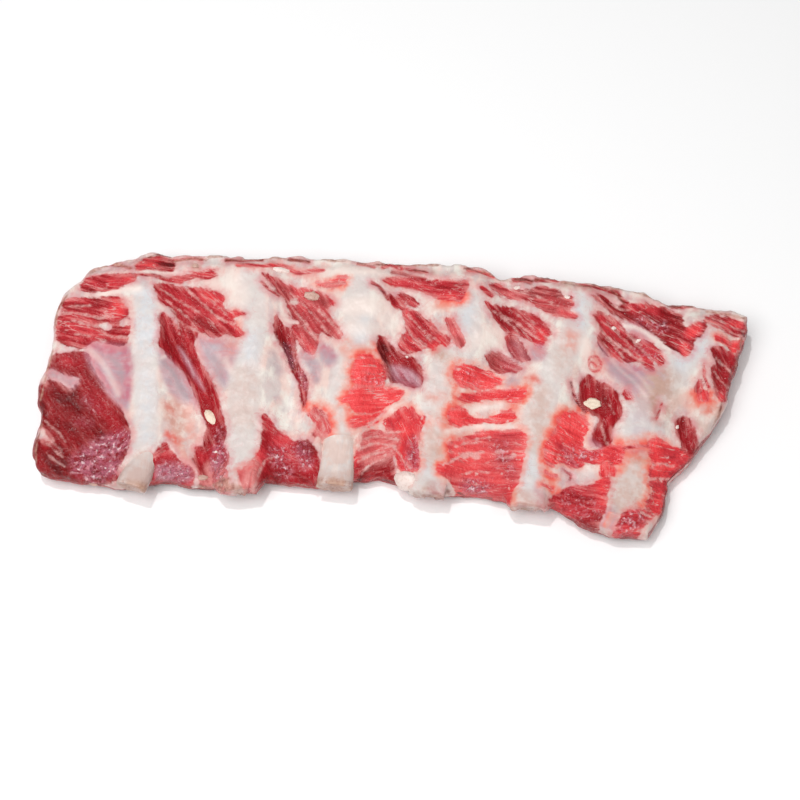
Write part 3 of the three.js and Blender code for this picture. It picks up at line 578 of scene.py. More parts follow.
def smooth_line(points, closed=False, steps=5):
    """A centripetal Catmull-Rom line through the points."""
    points = np.asarray(points, float)
    if closed:
        points = np.concatenate([points[-1:], points, points[:2]])
    else:
        points = np.concatenate([2 * points[:1] - points[1:2], points, 2 * points[-1:] - points[-2:-1]])
    chords = np.linalg.norm(np.diff(points[:, :2], axis=0), axis=1)
    knots = np.concatenate([[0], np.cumsum(np.sqrt(chords))])
    stretches = []
    for i in range(1, len(points) - 2):
        t = np.linspace(knots[i], knots[i + 1], steps, endpoint=False)[:, None]

        def blend(first, second, start, end):
            return (first * (knots[end] - t) + second * (t - knots[start])) / (knots[end] - knots[start])

        single = [blend(points[j], points[j + 1], j, j + 1) for j in (i - 1, i, i + 1)]
        double = [blend(single[0], single[1], i - 1, i + 1), blend(single[1], single[2], i, i + 2)]
        stretches.append(blend(double[0], double[1], i, i + 1))
    if not closed:
        stretches.append(points[-2:-1])
    return np.concatenate(stretches)


def near_box(places, line, reach):
    """Whether each place lies within reach of the line's bounding box."""
    low = line[:, :2].min(axis=0) - reach
    high = line[:, :2].max(axis=0) + reach
    return np.all((places > low) & (places < high), axis=1)


def line_distance(places, line, reach, closed=False):
    """Distance of each place to a line, up to reach, less the half width in the line's third column."""
    distance = np.full(len(places), float(reach))
    near = near_box(places, line, reach + (line[:, 2].max() if line.shape[1] > 2 else 0))
    here = places[near]
    least = np.full(len(here), float(reach))
    ends = np.roll(line, -1, axis=0) if closed else line[1:]
    for start, end in zip(line, ends):
        along = end[:2] - start[:2]
        share = np.clip((here - start[:2]) @ along / max(along @ along, NEARLY_ZERO), 0, 1)
        gap = np.linalg.norm(here - start[:2] - share[:, None] * along, axis=1)
        if line.shape[1] > 2:
            gap -= start[2] + share * (end[2] - start[2])
        least = np.minimum(least, gap)
    distance[near] = least
    return distance


def depth_inside(places, outline, reach):
    """Distance to an outline, positive inside it and negative outside, no further than reach."""
    outline = smooth_line(outline, closed=True)
    distance = line_distance(places, outline, reach, closed=True)
    inside = np.zeros(len(places), bool)
    for start, end in zip(outline, np.roll(outline, -1, axis=0)):
        crosses = (start[1] > places[:, 1]) != (end[1] > places[:, 1])
        rise = (end[1] - start[1]) or NEARLY_ZERO
        inside ^= crosses & (places[:, 0] < start[0] + (places[:, 1] - start[1]) / rise * (end[0] - start[0]))
    return np.where(inside, distance, -distance)


def ease(value, low, high):
    """0 below low, 1 above high and a smooth step between."""
    share = np.clip((value - low) / (high - low), 0, 1)
    return share * share * (3 - 2 * share)


def bell(distance, half_width):
    return np.exp(-(distance / half_width) ** 2)


def mixed(first, second, share):
    """The first value where the share is 0 and the second where it is 1."""
    return first * (1 - share) + second * share


def lowest(arrays):
    """The lowest value of some arrays at each place."""
    return functools.reduce(np.minimum, arrays)


def highest(arrays):
    """The highest value of some arrays at each place."""
    return functools.reduce(np.maximum, arrays)


def near_line(places, line, full, none):
    """1 within full px of a line, 0 beyond none px and a smooth step between."""
    return 1 - ease(line_distance(places, smooth_line(line), none), full, none)


def brushed(places, line, radius, softness):
    """A brush stroke along a line: 1 under the brush and 0 beyond its soft edge."""
    return near_line(places, line, radius - softness, radius + softness)


def soft_outlines(places, rows):
    """The strongest of some soft-edged outlines at each place."""
    return highest(strength * ease(depth_inside(places, outline, 2 * softness), -softness, softness)
                   for strength, softness, outline in rows)


def shoulders(values):
    """Values along the first axis with their peaks widened, then evened out without lowering them."""
    shifts = range(-SHOULDER, SHOULDER + 1)
    widest = np.max([np.roll(values, shift, axis=0) for shift in shifts], axis=0)
    return np.mean([np.roll(widest, shift, axis=0) for shift in shifts], axis=0)


def random_at(cells, seed):
    """A repeatable random number from 0 to 1 for each whole-numbered cell."""
    mixed_bits = cells @ CELL_FACTORS + seed * SEED_FACTOR
    mixed_bits = (mixed_bits ^ (mixed_bits >> 13)) * MIXING_FACTOR
    return ((mixed_bits ^ (mixed_bits >> 16)) & KEPT_BITS) / KEPT_BITS


def waves(points, seed):
    """Smooth noise from -1 to 1, about one wave to a unit."""
    cells = np.floor(points).astype(np.int64)
    part = ease(points - cells, 0, 1)
    total = np.zeros(len(points))
    for corner in np.ndindex(2, 2, 2):
        weight = np.prod(np.where(np.array(corner) == 1, part, 1 - part), axis=1)
        total += weight * random_at(cells + np.array(corner), seed)
    return 2 * total - 1


def rough_waves(points, seed, octaves=3):
    """Noise with smaller and weaker waves on the larger ones."""
    return sum(0.5 ** octave * waves(points * 2.0 ** octave, seed + octave) for octave in range(octaves))


# ---------------------------------------------------------------- the slab's form, mm

THICKNESS_TIPS = 16
THICKNESS_SPINE = 25
TAPER = (-60, 45)  # y between which the slab thickens
FLAT_Y = (-22, 20)  # the underside lies flat between these
FLAT_HALF_LENGTH = 140
LIFT_TIPS = 3.5  # how far the underside rises by LIFT_REACH beyond its flat middle
LIFT_SPINE = 3.5
LIFT_ENDS = 2.5
LIFT_REACH = 50
RIM_INSET = 3.2
RIM_DROP = 2.4
RIM_REACH = 8
BULGE_POWER = 3

EDGE_STEPS = 12
EDGE_ROUGHNESS = 0.45
TORN_EDGE_ROUGHNESS = 1.0
EDGE_WAVE = 5.0
CORNER_SHARES = (0.005, 0.05)  # how far along an edge its roughness begins and is whole
RIGHT_END_RISE = 4.0  # the right end shows its foot almost as far as the back corner

COLUMNS = 390
ROWS = 141
WALL_RINGS = 17
UNDERSIDE_STEP = 3  # grid cells of the upper side to one of the underside
UPPER_COUNT = (COLUMNS + 1) * (ROWS + 1)
RIM_COUNT = 2 * (COLUMNS + ROWS)

# What lies where, px
MUSCLE_REACH_PX = 14.0
SEAM_REACH_PX = 6.0
RIB_REACH_PX = 60.0
RIB_EDGE_PX = (-4, 3)
BARE_REACH_PX = 8.0
BLEND_PX = 1.5  # over this depth one muscle's tone gives way to the next
LEAST_WEIGHT = 1e-6
SINK_PX = (-2, 9)  # depths inside a muscle between which it sinks
SURE_PX = (0.5, 5)  # how much deeper than the next muscle it is when its fibres start to show, and show fully
STRIP_DEGREES = 10
STRIP_RAGGED = 0.2
CUT_EDGE = (0.2, 1.4)  # shares of a stroke's radius between which it fades out
CRUST_EDGE = (0, 1.5)
HALO_EDGE = (0.6, 1.5)
CREASE_REACH = 4  # half widths
BROWN_FROM = 0.5  # amount of crust that has its full brownness
BARE_BEIGE = 0.9
BARE_BEIGE_PX = (-6, 0)

# The sides that the photo doesn't show, with the waves of their noise to a mm
FRONT_SHOWS = (0.45, 0.75)  # shares down the front wall between which the photo stops showing it
REST_SHOWS = (0.12, 0.3)  # and down the other walls
MUSCLE_BANDS = np.array([0.02, 0.03, 0.12])
MUSCLE_SHARE = 0.45
MUSCLE_UNEVENNESS = 1.1
LAYER_DOWN = 0.52  # share down the wall of the middle of its layer of fat
LAYER_BEND = 0.16
LAYER_BENDS = 0.018
LAYER_DEPTH = 1.4
LAYER_DEPTH_RANGE = (-0.4, 0.8)
LAYER_DEPTHS = 0.04
LAYER_FRAY = 0.4
LAYER_FRAYS = 0.3
FAT_RIM = (0.06, 0.18)  # shares down the wall between which the fat of the upper side ends
FAT_RIM_BEND = 0.1
FAT_RIM_BENDS = 0.07
FAT_RIM_DEPTH_PX = 3
HIDDEN_TONE = 0.3
HIDDEN_TONE_CHANGE = 0.2
HIDDEN_TONES = 0.03
HIDDEN_GRAIN = 0.08
HIDDEN_CRUST = 0.35
HIDDEN_CRUST_DOWN = 0.14
HIDDEN_CRUST_HALF_WIDTH = 0.07
HIDDEN_BROWN = 0.4

# Relief of the upper side
RIDGE_HEIGHT = 3.0
RIDGE_HALF_WIDTH = 9
HOLLOW_DEPTH = 1.6
HOLLOW_OFFSET = 16
HOLLOW_HALF_WIDTH = 9
MEMBRANE = 0.4  # how far the torn membrane stands over the muscle
TORN_EDGE = (-1.2, 1.6)  # depths inside the muscle between which the membrane ends
SWELL = 0.9
SWELL_DEPTHS = (0.5, 6)
SUNKEN = (0.3, 1.5)  # muscle that lies so far below the membrane swells less
FIBRE_WAVES = np.array([0.07, 0.33, 0.2])  # waves to a mm along and across the fibres, and upwards
FIBRE_RELIEF = 0.28
FIBRES_UNDER_FAT = 0.25
LUMP_RELIEF = 0.55
LUMP_SIZE = 14
LUMPS_ON_MUSCLE = 0.5
PIMPLE_RELIEF = 0.12
PIMPLE_SIZE = 3.2
RIM_CALM = 4  # distance from the rim at which the relief is whole
RELIEF_AT_RIM = 0.45

# Membrane over the ribs
COVER_OVER_BONE = 0.5
COVER_OVER_TIP = 1.1
COVER_SAG = 3.0
COVER_FOOT = 0.5  # share down the wall where the cover ends
BARE_DEPTH = 0.4
BARE_EDGE_PX = (-5, 3)
BARE_EDGE_WAVE_PX = 1.5
BARE_EDGE_SIZE = 4
BARE_WALL_EDGE_PX = (-1.5, 1.5)
LAP_OVER_TIP = 1.1
LAP_FOLD = 0.17  # how far down the wall the membrane reaches the end of a rib, as a share
LAP_HEM = 0.36  # how far down the wall the membrane hangs over a tip, as a share
LAP_HEM_WAVE = 0.09
LAP_HEM_SIZE = 3.5
LAP_HEM_SOFTNESS = 0.08
LAP_LUMPS = 0.9
LAP_LUMP_SIZE = 4
LAP_LUMP_BIAS = 0.3
LAP_LUMP_REACH = 2
WALL_LUMPS = 0.7
WALL_LUMP_SIZE = 9
WALL_PIMPLES = 0.3
WALL_PIMPLE_SIZE = 2.5
TIP_SEARCH = 20.0
TIP_SEARCH_HEIGHT = 17.0
TIP_INSET = 1  # how far behind a tip's front its top is measured
FACING_STEPS = 5  # rim points to each side from which the way the wall faces is taken


def underside_height(x, y):
    def lift(distance):
        return (np.maximum(distance, 0) / LIFT_REACH) ** 2
    tips = LIFT_TIPS * lift(FLAT_Y[0] - y)
    spine = LIFT_SPINE * lift(y - FLAT_Y[1])
    ends = LIFT_ENDS * lift(np.abs(x) - FLAT_HALF_LENGTH)
    return tips + spine + ends


def thickness(y):
    return mixed(THICKNESS_TIPS, THICKNESS_SPINE, ease(y, *TAPER))


class Outline:
    """The slab's outline in plan, mm, from its four edges in the photo, and a sheet between them."""

    def __init__(self):
        end_heights = (FRONT_EDGE_HEIGHT, BACK_EDGE_HEIGHT)
        self.front = self.edge(FRONT_EDGE_PX, (FRONT_EDGE_HEIGHT, FRONT_EDGE_HEIGHT), EDGE_ROUGHNESS)
        self.back = self.edge(BACK_EDGE_PX, (BACK_EDGE_HEIGHT, BACK_EDGE_HEIGHT), TORN_EDGE_ROUGHNESS)
        self.left = self.edge(LEFT_END_PX, end_heights, EDGE_ROUGHNESS)
        self.right = self.edge(RIGHT_END_PX, end_heights, EDGE_ROUGHNESS, RIGHT_END_RISE)
        self.length = self.front[0][-1]
        self.width = self.left[0][-1]

    def edge(self, pixels, heights, roughness, rise=1.0):
        """How far along an edge each of its points is, and the points."""
        line = smooth_line(pixels, steps=EDGE_STEPS)
        share = np.linspace(0, 1, len(line))
        points = from_photo(line, mixed(*heights, share ** rise))[:, :2] / MM
        away_from_corners = ease(np.minimum(share, 1 - share), *CORNER_SHARES)
        place = np.column_stack([points, np.zeros(len(points))])
        for axis in (0, 1):
            points[:, axis] += roughness * away_from_corners * rough_waves(place / EDGE_WAVE, seed=41 + axis)
        reached = np.concatenate([[0], np.cumsum(np.linalg.norm(np.diff(points, axis=0), axis=1))])
        return reached, points

    def at(self, edge, share):
        reached, points = edge
        target = share * reached[-1]
        return np.stack([np.interp(target, reached, points[:, axis]) for axis in (0, 1)], axis=-1)

    def plan(self, u, v, inset):
        """x, y at shares u along the slab and v from tips to spine, once the rim is inset by some mm."""
        u = 0.5 + (u - 0.5) * (1 - 2 * inset / self.length)
        v = 0.5 + (v - 0.5) * (1 - 2 * inset / self.width)
        u_share, v_share = u[:, None], v[:, None]
        sides = mixed(self.at(self.front, u), self.at(self.back, u), v_share)
        ends = mixed(self.at(self.left, v), self.at(self.right, v), u_share)
        near = mixed(self.front[1][0], self.front[1][-1], u_share)
        far = mixed(self.back[1][0], self.back[1][-1], u_share)
        return sides + ends - mixed(near, far, v_share)


def rim_shares():
    """The rim's u and v, anticlockwise from the left tip corner."""
    along = np.arange(COLUMNS) / COLUMNS
    across = np.arange(ROWS) / ROWS
    u = np.concatenate([along, np.ones(ROWS), 1 - along, np.zeros(ROWS)])
    v = np.concatenate([np.zeros(COLUMNS), across, np.ones(COLUMNS), 1 - across])
    return u, v


def grid_rim(columns, rows):
    """Indices of a grid's rim, in rim_shares order. A grid's points run column by column."""
    def index(i, j):
        return i * (rows + 1) + j
    return (
        [index(i, 0) for i in range(columns)]
        + [index(columns, j) for j in range(rows)]
        + [index(i, rows) for i in range(columns, 0, -1)]
        + [index(0, j) for j in range(rows, 0, -1)]
    )


def grid_shares(columns, rows):
    u, v = np.meshgrid(np.arange(columns + 1) / columns, np.arange(rows + 1) / rows, indexing="ij")
    return u.ravel(), v.ravel()


def grid_faces(columns, rows, first, upward):
    cells = []
    for i in range(columns):
        for j in range(rows):
            a = first + i * (rows + 1) + j
            b = a + rows + 1
            cells.append((a, b, b + 1, a + 1) if upward else (a, a + 1, b + 1, b))
    return cells


def ring_points(ring):
    """The points of one of the wall's rings, counted from 1 below the rim."""
    first = UPPER_COUNT + (ring - 1) * RIM_COUNT
    return slice(first, first + RIM_COUNT)


def skin_faces():
    """The upper grid, the wall's rings and the coarser underside, stitched into one closed surface."""
    faces = grid_faces(COLUMNS, ROWS, 0, upward=True)
    above = grid_rim(COLUMNS, ROWS)
    for ring in range(1, WALL_RINGS):
        points = ring_points(ring)
        below = list(range(points.start, points.stop))
        for n in range(RIM_COUNT):
            following = (n + 1) % RIM_COUNT
            faces.append((below[n], below[following], above[following], above[n]))
        above = below
    first = points.stop
    columns, rows = COLUMNS // UNDERSIDE_STEP, ROWS // UNDERSIDE_STEP
    faces += grid_faces(columns, rows, first, upward=False)
    coarse = [first + index for index in grid_rim(columns, rows)]
    for n, here in enumerate(coarse):
        following = coarse[(n + 1) % len(coarse)]
        a, b, c, d = (above[(UNDERSIDE_STEP * n + k) % RIM_COUNT] for k in range(4))
        faces += [(here, b, a), (here, following, c, b), (following, d, c)]
    return faces


class Skin:
    """Points of the whole closed surface, mm, with what lies where on them."""

    def __init__(self, outline, bone_tree):
        self.outline = outline
        self.bone_tree = bone_tree
        self.bone_tops = tops_from(bone_tree)
        self.make_base()
        self.make_masks()
        self.shape()

    def make_base(self):
        """The smooth slab in layers: the upper grid, the rings of its wall and the coarser underside."""
        layers = [(0.0, *grid_shares(COLUMNS, ROWS))]
        layers += [(ring / WALL_RINGS, *rim_shares()) for ring in range(1, WALL_RINGS)]
        layers.append((1.0, *grid_shares(COLUMNS // UNDERSIDE_STEP, ROWS // UNDERSIDE_STEP)))
        self.points = np.concatenate([self.base_layer(*layer) for layer in layers])
        self.down = np.concatenate([np.full(len(u), down) for down, u, v in layers])
        self.u = np.concatenate([u for down, u, v in layers])
        self.v = np.concatenate([v for down, u, v in layers])

    def base_layer(self, down, u, v):
        """Points at shares u and v of a layer that is some share of the thickness below the upper side."""
        plan = self.outline.plan(u, v, RIM_INSET * abs(1 - 2 * down) ** BULGE_POWER)
        drop = RIM_DROP * (1 - ease(self.rim_distance(u, v), 0, RIM_REACH))
        height = underside_height(*plan.T) + (thickness(plan[:, 1]) - drop) * (1 - down)
        return np.column_stack([plan, height])

    def rim_distance(self, u, v):
        along = np.minimum(u, 1 - u) * self.outline.length
        across = np.minimum(v, 1 - v) * self.outline.width
        return np.minimum(along, across)

    # What lies where

    def make_masks(self):
        """Muscle, seams, films and tints by where each point lies in the photo."""
        places = to_photo(self.points * MM)
        front = (self.v == 0) & (self.down < 1)
        self.hide = np.where(front, ease(self.down, *FRONT_SHOWS), ease(self.down, *REST_SHOWS))
        self.find_muscle(places)
        self.seam = lowest(line_distance(places, smooth_line(line), SEAM_REACH_PX) - half_width
                           for half_width, line in SEAMS_PX)
        self.rib_gap = lowest(line_distance(places, smooth_line(line), RIB_REACH_PX)
                              for line in RIBS_PX.values())
        self.bare = highest(depth_inside(places, outline, BARE_REACH_PX)
                            for outline in BARE_BONE_PX.values())
        self.crease = highest(
            depth * bell(line_distance(places, smooth_line(line), CREASE_REACH * half_width), half_width)
            for depth, half_width, line in CREASES_PX)
        self.shown = {}
        for tint, strength, softness, radius, line in TINTS_PX + [("white", *row) for row in WHITES_AND_SHEEN_PX]:
            amount = strength * brushed(places, line, radius, softness)
            self.shown[tint] = np.maximum(self.shown.get(tint, 0), amount)
        bare_beige = BARE_BEIGE * ease(self.bare, *BARE_BEIGE_PX)
        self.shown["beige"] = np.maximum(self.shown["beige"], bare_beige)
        self.shown["film"] = soft_outlines(places, FILMS_PX)
        self.shown["faded"] = soft_outlines(places, FADED_PX)
        self.shown["halo"] = highest(near_line(places, line, *(share * radius for share in HALO_EDGE))
                                     for radius, line in HALOS_PX)
        cuts = [(strength, purple, near_line(places, line, *(share * radius for share in CUT_EDGE)))
                for radius, strength, purple, line in GRAINY_PX]
        self.shown["grain"] = highest(strength * amount for strength, _, amount in cuts)
        self.shown["purple"] = highest(purple * amount for _, purple, amount in cuts)
        crusts = [(browned, near_line(places, line, *(share * radius for share in CRUST_EDGE)))
                  for browned, radius, line in CRUSTS_AND_EDGE_SHADE_PX]
        self.shown["crust"] = highest(amount for _, amount in crusts)
        self.browned = highest(browned * ease(amount, 0, BROWN_FROM) for browned, amount in crusts)
        self.cover_hidden_sides()

    def find_muscle(self, places):
        """The nearest muscle: how deep inside it each point is, its tone, sink and fibres."""
        found = []
        for name, (tone, degrees, sink, outline) in MUSCLES_PX.items():
            depth = depth_inside(places, outline, MUSCLE_REACH_PX)
            found.append((tone, degrees, sink, SMOOTH_MUSCLES.get(name, 1.0), 1.0, depth))
        for tone, half_width, line in STRIPS_PX:
            depth = half_width - line_distance(places, smooth_line(line), MUSCLE_REACH_PX + half_width)
            found.append((tone, STRIP_DEGREES, 0.0, 1.0, STRIP_RAGGED, depth))
        count = len(places)
        self.muscle = np.full(count, -MUSCLE_REACH_PX)
        runner_up = np.full(count, -MUSCLE_REACH_PX)
        angle = np.zeros(count)
        fibrous = np.ones(count)
        self.tone, self.sink, self.ragged = np.zeros((3, count))
        weights = np.full(count, LEAST_WEIGHT)
        for tone, degrees, sink, streaks, ragged, depth in found:
            nearer = depth > self.muscle
            angle[nearer] = math.radians(degrees)
            fibrous[nearer] = streaks
            runner_up = np.maximum(runner_up, np.minimum(self.muscle, depth))
            self.muscle = np.maximum(self.muscle, depth)
            weight = np.exp(depth / BLEND_PX)
            weights += weight
            self.tone += weight * tone
            self.sink += weight * sink * ease(depth, *SINK_PX)
            self.ragged += weight * ragged
        self.tone /= weights
        self.sink /= weights
        self.ragged /= weights
        for outline in PATCHES_PX:
            self.muscle = np.minimum(self.muscle, -depth_inside(places, outline, MUSCLE_REACH_PX))
        self.sure = ease(self.muscle - runner_up, *SURE_PX)
        self.sure[runner_up <= -MUSCLE_REACH_PX] = 1
        self.sure *= fibrous
        for change, softness, radius, line in TONES_PX:
            self.tone += change * brushed(places, line, radius, softness)
        x, y, z = self.points.T
        along = x * np.cos(angle) - y * np.sin(angle)
        across = x * np.sin(angle) + y * np.cos(angle)
        self.fibre = np.column_stack([along, across, z])

    def cover_hidden_sides(self):
        """The sides that the photo doesn't show: layers of muscle and fat, fibres along the walls."""
        hide = self.hide
        points = self.points
        bands = MUSCLE_SHARE + MUSCLE_UNEVENNESS * rough_waves(points * MUSCLE_BANDS, seed=11)
        layer = self.down - LAYER_DOWN + LAYER_BEND * waves(points * LAYER_BENDS, seed=13)
        layer = np.abs(layer) * THICKNESS_SPINE
        layer -= LAYER_DEPTH * ease(waves(points * LAYER_DEPTHS, seed=15), *LAYER_DEPTH_RANGE)
        layer += LAYER_FRAY * waves(points * LAYER_FRAYS, seed=16)
        muscle = np.minimum(MUSCLE_REACH_PX * np.clip(bands, -1, 1), layer / PIXEL_MM)
        below_rim = ease(self.down + FAT_RIM_BEND * waves(points * FAT_RIM_BENDS, seed=19), *FAT_RIM)
        tone = HIDDEN_TONE + HIDDEN_TONE_CHANGE * waves(points * HIDDEN_TONES, seed=17)
        self.muscle = mixed(self.muscle, mixed(-FAT_RIM_DEPTH_PX, muscle, below_rim), hide)
        self.tone = mixed(self.tone, tone, hide)
        self.ragged = mixed(self.ragged, 1, hide)
        self.sink *= 1 - hide
        self.crease *= 1 - hide
        for name in self.shown:
            self.shown[name] *= 1 - hide
        self.shown["grain"] = np.maximum(self.shown["grain"], HIDDEN_GRAIN * hide)
        crust = HIDDEN_CRUST * bell(self.down - HIDDEN_CRUST_DOWN, HIDDEN_CRUST_HALF_WIDTH) * (self.v > 0)
        self.shown["crust"] = np.maximum(self.shown["crust"], crust)
        self.browned = np.maximum(self.browned, HIDDEN_BROWN)
        hidden = hide > 0.5
        self.seam = np.where(hidden, SEAM_REACH_PX, self.seam)
        self.bare = np.where(hidden, -BARE_REACH_PX, self.bare)
        x, y, z = points.T
        around = self.u * self.outline.length + self.v * self.outline.width
        wall = np.column_stack([around, np.zeros(len(z)), z])
        under = np.column_stack([y, x, z])
        side = np.where((self.down < 1)[:, None], wall, under)
        self.fibre = np.where(hidden[:, None], side, self.fibre)
        self.sure = np.where(hidden, ease(hide, 0.5, 0.7), self.sure * ease(hide, 0.5, 0.3))

    # Relief

    def shape(self):
        """Moves the smooth slab's points: ridges over ribs, hollows, torn membrane, fibres and lumps."""
        base = self.points.copy()
        muscle = self.muscle * PIXEL_MM
        rib_gap = self.rib_gap * PIXEL_MM
        open_muscle = ease(muscle, *TORN_EDGE)
        relief = RIDGE_HEIGHT * bell(np.maximum(rib_gap, 0), RIDGE_HALF_WIDTH)
        relief -= HOLLOW_DEPTH * bell(rib_gap - HOLLOW_OFFSET, HOLLOW_HALF_WIDTH)
        relief -= MEMBRANE * open_muscle + self.sink + self.crease
        relief += SWELL * ease(muscle, *SWELL_DEPTHS) * (1 - ease(self.sink, *SUNKEN))
        fibres = waves(self.fibre * FIBRE_WAVES, seed=3)
        relief += FIBRE_RELIEF * fibres * mixed(FIBRES_UNDER_FAT, 1, open_muscle) * self.sure
        lumps = rough_waves(base / LUMP_SIZE, seed=7)
        relief += LUMP_RELIEF * lumps * mixed(1, LUMPS_ON_MUSCLE, open_muscle)
        relief += PIMPLE_RELIEF * waves(base / PIMPLE_SIZE, seed=9) * (1 - open_muscle)
        upper = slice(0, UPPER_COUNT)
        away_from_rim = ease(self.rim_distance(self.u[upper], self.v[upper]), 0, RIM_CALM)
        self.points[upper, 2] += relief[upper] * mixed(RELIEF_AT_RIM, 1, away_from_rim)
        self.clear_bones(upper)
        self.roughen_wall(base)
        self.points[:, 2] = np.maximum(self.points[:, 2], 0)

    def clear_bones(self, upper):
        """Membrane lies over the ribs, except where it is torn off them."""
        tops = self.bone_tops(self.points[upper, :2])
        heights = self.points[upper, 2]
        edge = BARE_EDGE_WAVE_PX * waves(self.points[upper] / BARE_EDGE_SIZE, seed=27)
        bare = ease(self.bare[upper] + edge, *BARE_EDGE_PX)
        lift = np.nan_to_num(np.maximum(tops + COVER_OVER_BONE - heights, 0)) * (1 - bare)
        covered = heights + shoulders(lift.reshape(COLUMNS + 1, ROWS + 1)).ravel()
        laid_bare = mixed(covered, tops - BARE_DEPTH, bare)
        self.points[upper, 2] = np.where(np.isfinite(tops), laid_bare, covered)

    def roughen_wall(self, base):
        """Pushes the wall in and out the way it faces, and laps it over the rib tips."""
        rim = np.array(grid_rim(COLUMNS, ROWS))
        rim_places = base[rim, :2]
        rim_rise = self.points[rim, 2] - base[rim, 2]
        following = np.roll(rim_places, -FACING_STEPS, axis=0) - np.roll(rim_places, FACING_STEPS, axis=0)
        outward = np.column_stack([following[:, 1], -following[:, 0]])
        outward /= np.linalg.norm(outward, axis=1)[:, None]
        tip_front = self.tip_fronts(rim_places, outward)
        tip_tops = self.bone_tops(rim_places + outward * (tip_front - TIP_INSET)[:, None])
        for ring in range(1, WALL_RINGS):
            here = ring_points(ring)
            down = ring / WALL_RINGS
            place = base[here]
            bare = ease(self.bare[here], *BARE_WALL_EDGE_PX)
            push = WALL_LUMPS * rough_waves(place / WALL_LUMP_SIZE, seed=21)
            push += WALL_PIMPLES * waves(place / WALL_PIMPLE_SIZE, seed=23)
            push *= math.sin(math.pi * down)
            stands_out = np.sum((place[:, :2] - rim_places) * outward, axis=1)
            wrap = np.maximum(tip_front - stands_out + LAP_OVER_TIP, 0)
            lumps = np.maximum(LAP_LUMP_BIAS + rough_waves(place / LAP_LUMP_SIZE, seed=29), 0)
            wrap += LAP_LUMPS * ease(wrap, 0, LAP_LUMP_REACH) * lumps
            wrap *= (1 - bare) * ease(down, 0, LAP_FOLD)
            hem = LAP_HEM + LAP_HEM_WAVE * rough_waves(place / LAP_HEM_SIZE, seed=25)
            push += wrap * (1 - ease(down, hem, hem + LAP_HEM_SOFTNESS))
            self.points[here, :2] += outward * push[:, None]
            tops = self.bone_tops(self.points[here, :2])
            height = self.points[here, 2] + rim_rise * (1 - down) ** 2
            cover = tops + COVER_OVER_TIP * (1 - down) - COVER_SAG * down ** 2 - height
            cover = np.nan_to_num(cover) * (down < COVER_FOOT)
            fallen = min(max(down / LAP_FOLD - 1, 0), 1)
            fold = np.nan_to_num(tip_tops + COVER_OVER_TIP - height) * (1 - fallen) * (tip_front > 0)
            lift = np.maximum(cover, shoulders(np.maximum(fold, 0) * (1 - bare)))
            self.points[here, 2] = height + np.maximum(lift, 0) * (1 - bare)

    def tip_fronts(self, rim_places, outward):
        """How far the rib tips reach beyond the rim the way the wall faces, evened out along the rim."""
        starts = rim_places + TIP_SEARCH * outward
        reach = np.full(len(starts), -LAP_OVER_TIP)
        for n in np.flatnonzero(rim_shares()[1] == 0):
            start = Vector((*starts[n], TIP_SEARCH_HEIGHT)) * MM
            hit = self.bone_tree.ray_cast(start, Vector((*-outward[n], 0)))[0]
            if hit:
                reach[n] = TIP_SEARCH - (hit - start).length / MM
        return shoulders(reach)


# ---------------------------------------------------------------- meshes

ABOVE_ALL = 0.1
DOWNWARDS = Vector((0, 0, -1))


def coordinates(mesh):
    return np.array([vertex.co[:] for vertex in mesh.vertices])


def new_piece(name, mesh, material):
    """A smooth-shaded piece of the object, which rides on its only body."""
    mesh.polygons.foreach_set("use_smooth", [True] * len(mesh.polygons))
    mesh.materials.clear()
    mesh.materials.append(material)
    piece = bpy.data.objects.new(name, mesh)
    bpy.context.scene.collection.objects.link(piece)
    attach(piece, "root")
    return piece


def new_mesh(name, points, faces):
    mesh = bpy.data.meshes.new(name)
    mesh.from_pydata([tuple(point) for point in points], [], faces)
    mesh.update()
    return mesh


def add_numbers(piece, numbers):
    """Stores numbers on a piece's points, by the names that its material reads."""
    for name, values in numbers.items():
        layer = piece.data.attributes.new(name, "FLOAT", "POINT")
        layer.data.foreach_set("value", np.asarray(values, np.float32))


def add_vectors(piece, name, values):
    layer = piece.data.attributes.new(name, "FLOAT_VECTOR", "POINT")
    layer.data.foreach_set("vector", np.asarray(values, np.float32).ravel())


def mesh_tree(meshes):
    """One search tree over several meshes in the row frame."""
    points = []
    faces = []
    for mesh in meshes:
        first = len(points)
        points += [vertex.co.copy() for vertex in mesh.vertices]
        faces += [[first + index for index in polygon.vertices] for polygon in mesh.polygons]
    return BVHTree.FromPolygons(points, faces)


def tops_from(tree):
    """A function that gives the height of the tree's highest surface over each x, y in mm, or nan."""
    def tops(plan):
        heights = np.full(len(plan), np.nan)
        for n, (x, y) in enumerate(plan):
            hit = tree.ray_cast(Vector((x * MM, y * MM, ABOVE_ALL)), DOWNWARDS)[0]
            if hit:
                heights[n] = hit.z / MM
        return heights
    return tops


# ---------------------------------------------------------------- materials


def colour(red, green, blue):
    """A linear colour from the eight-bit sRGB one."""
    channels = np.array([red, green, blue]) / 255
    linear = np.where(channels <= 0.04045, channels / 12.92, ((channels + 0.055) / 1.055) ** 2.4)
    return (*linear.tolist(), 1.0)


class Value:
    """What a shader node gives out. Arithmetic on it adds nodes."""

    def __init__(self, shader, socket):
        self.shader = shader
        self.socket = socket

    def __add__(self, other):
        return self.shader.math("ADD", self, other)

    def __sub__(self, other):
        return self.shader.math("SUBTRACT", self, other)

    def __mul__(self, other):
        return self.shader.math("MULTIPLY", self, other)

    def __abs__(self):
        return self.shader.math("ABSOLUTE", self)

    def spread(self, low, high):
        """A number from 0 to 1 stretched in a straight line from low to high."""
        return self * (high - low) + low

    def step(self, low, high, out_low=0.0, out_high=1.0):
        """A smooth step from out_low to out_high while the value goes from low to high."""
        inputs = {"Value": self, "From Min": low, "From Max": high, "To Min": out_low, "To Max": out_high}
        return self.shader.node("MapRange", inputs, interpolation_type="SMOOTHSTEP")


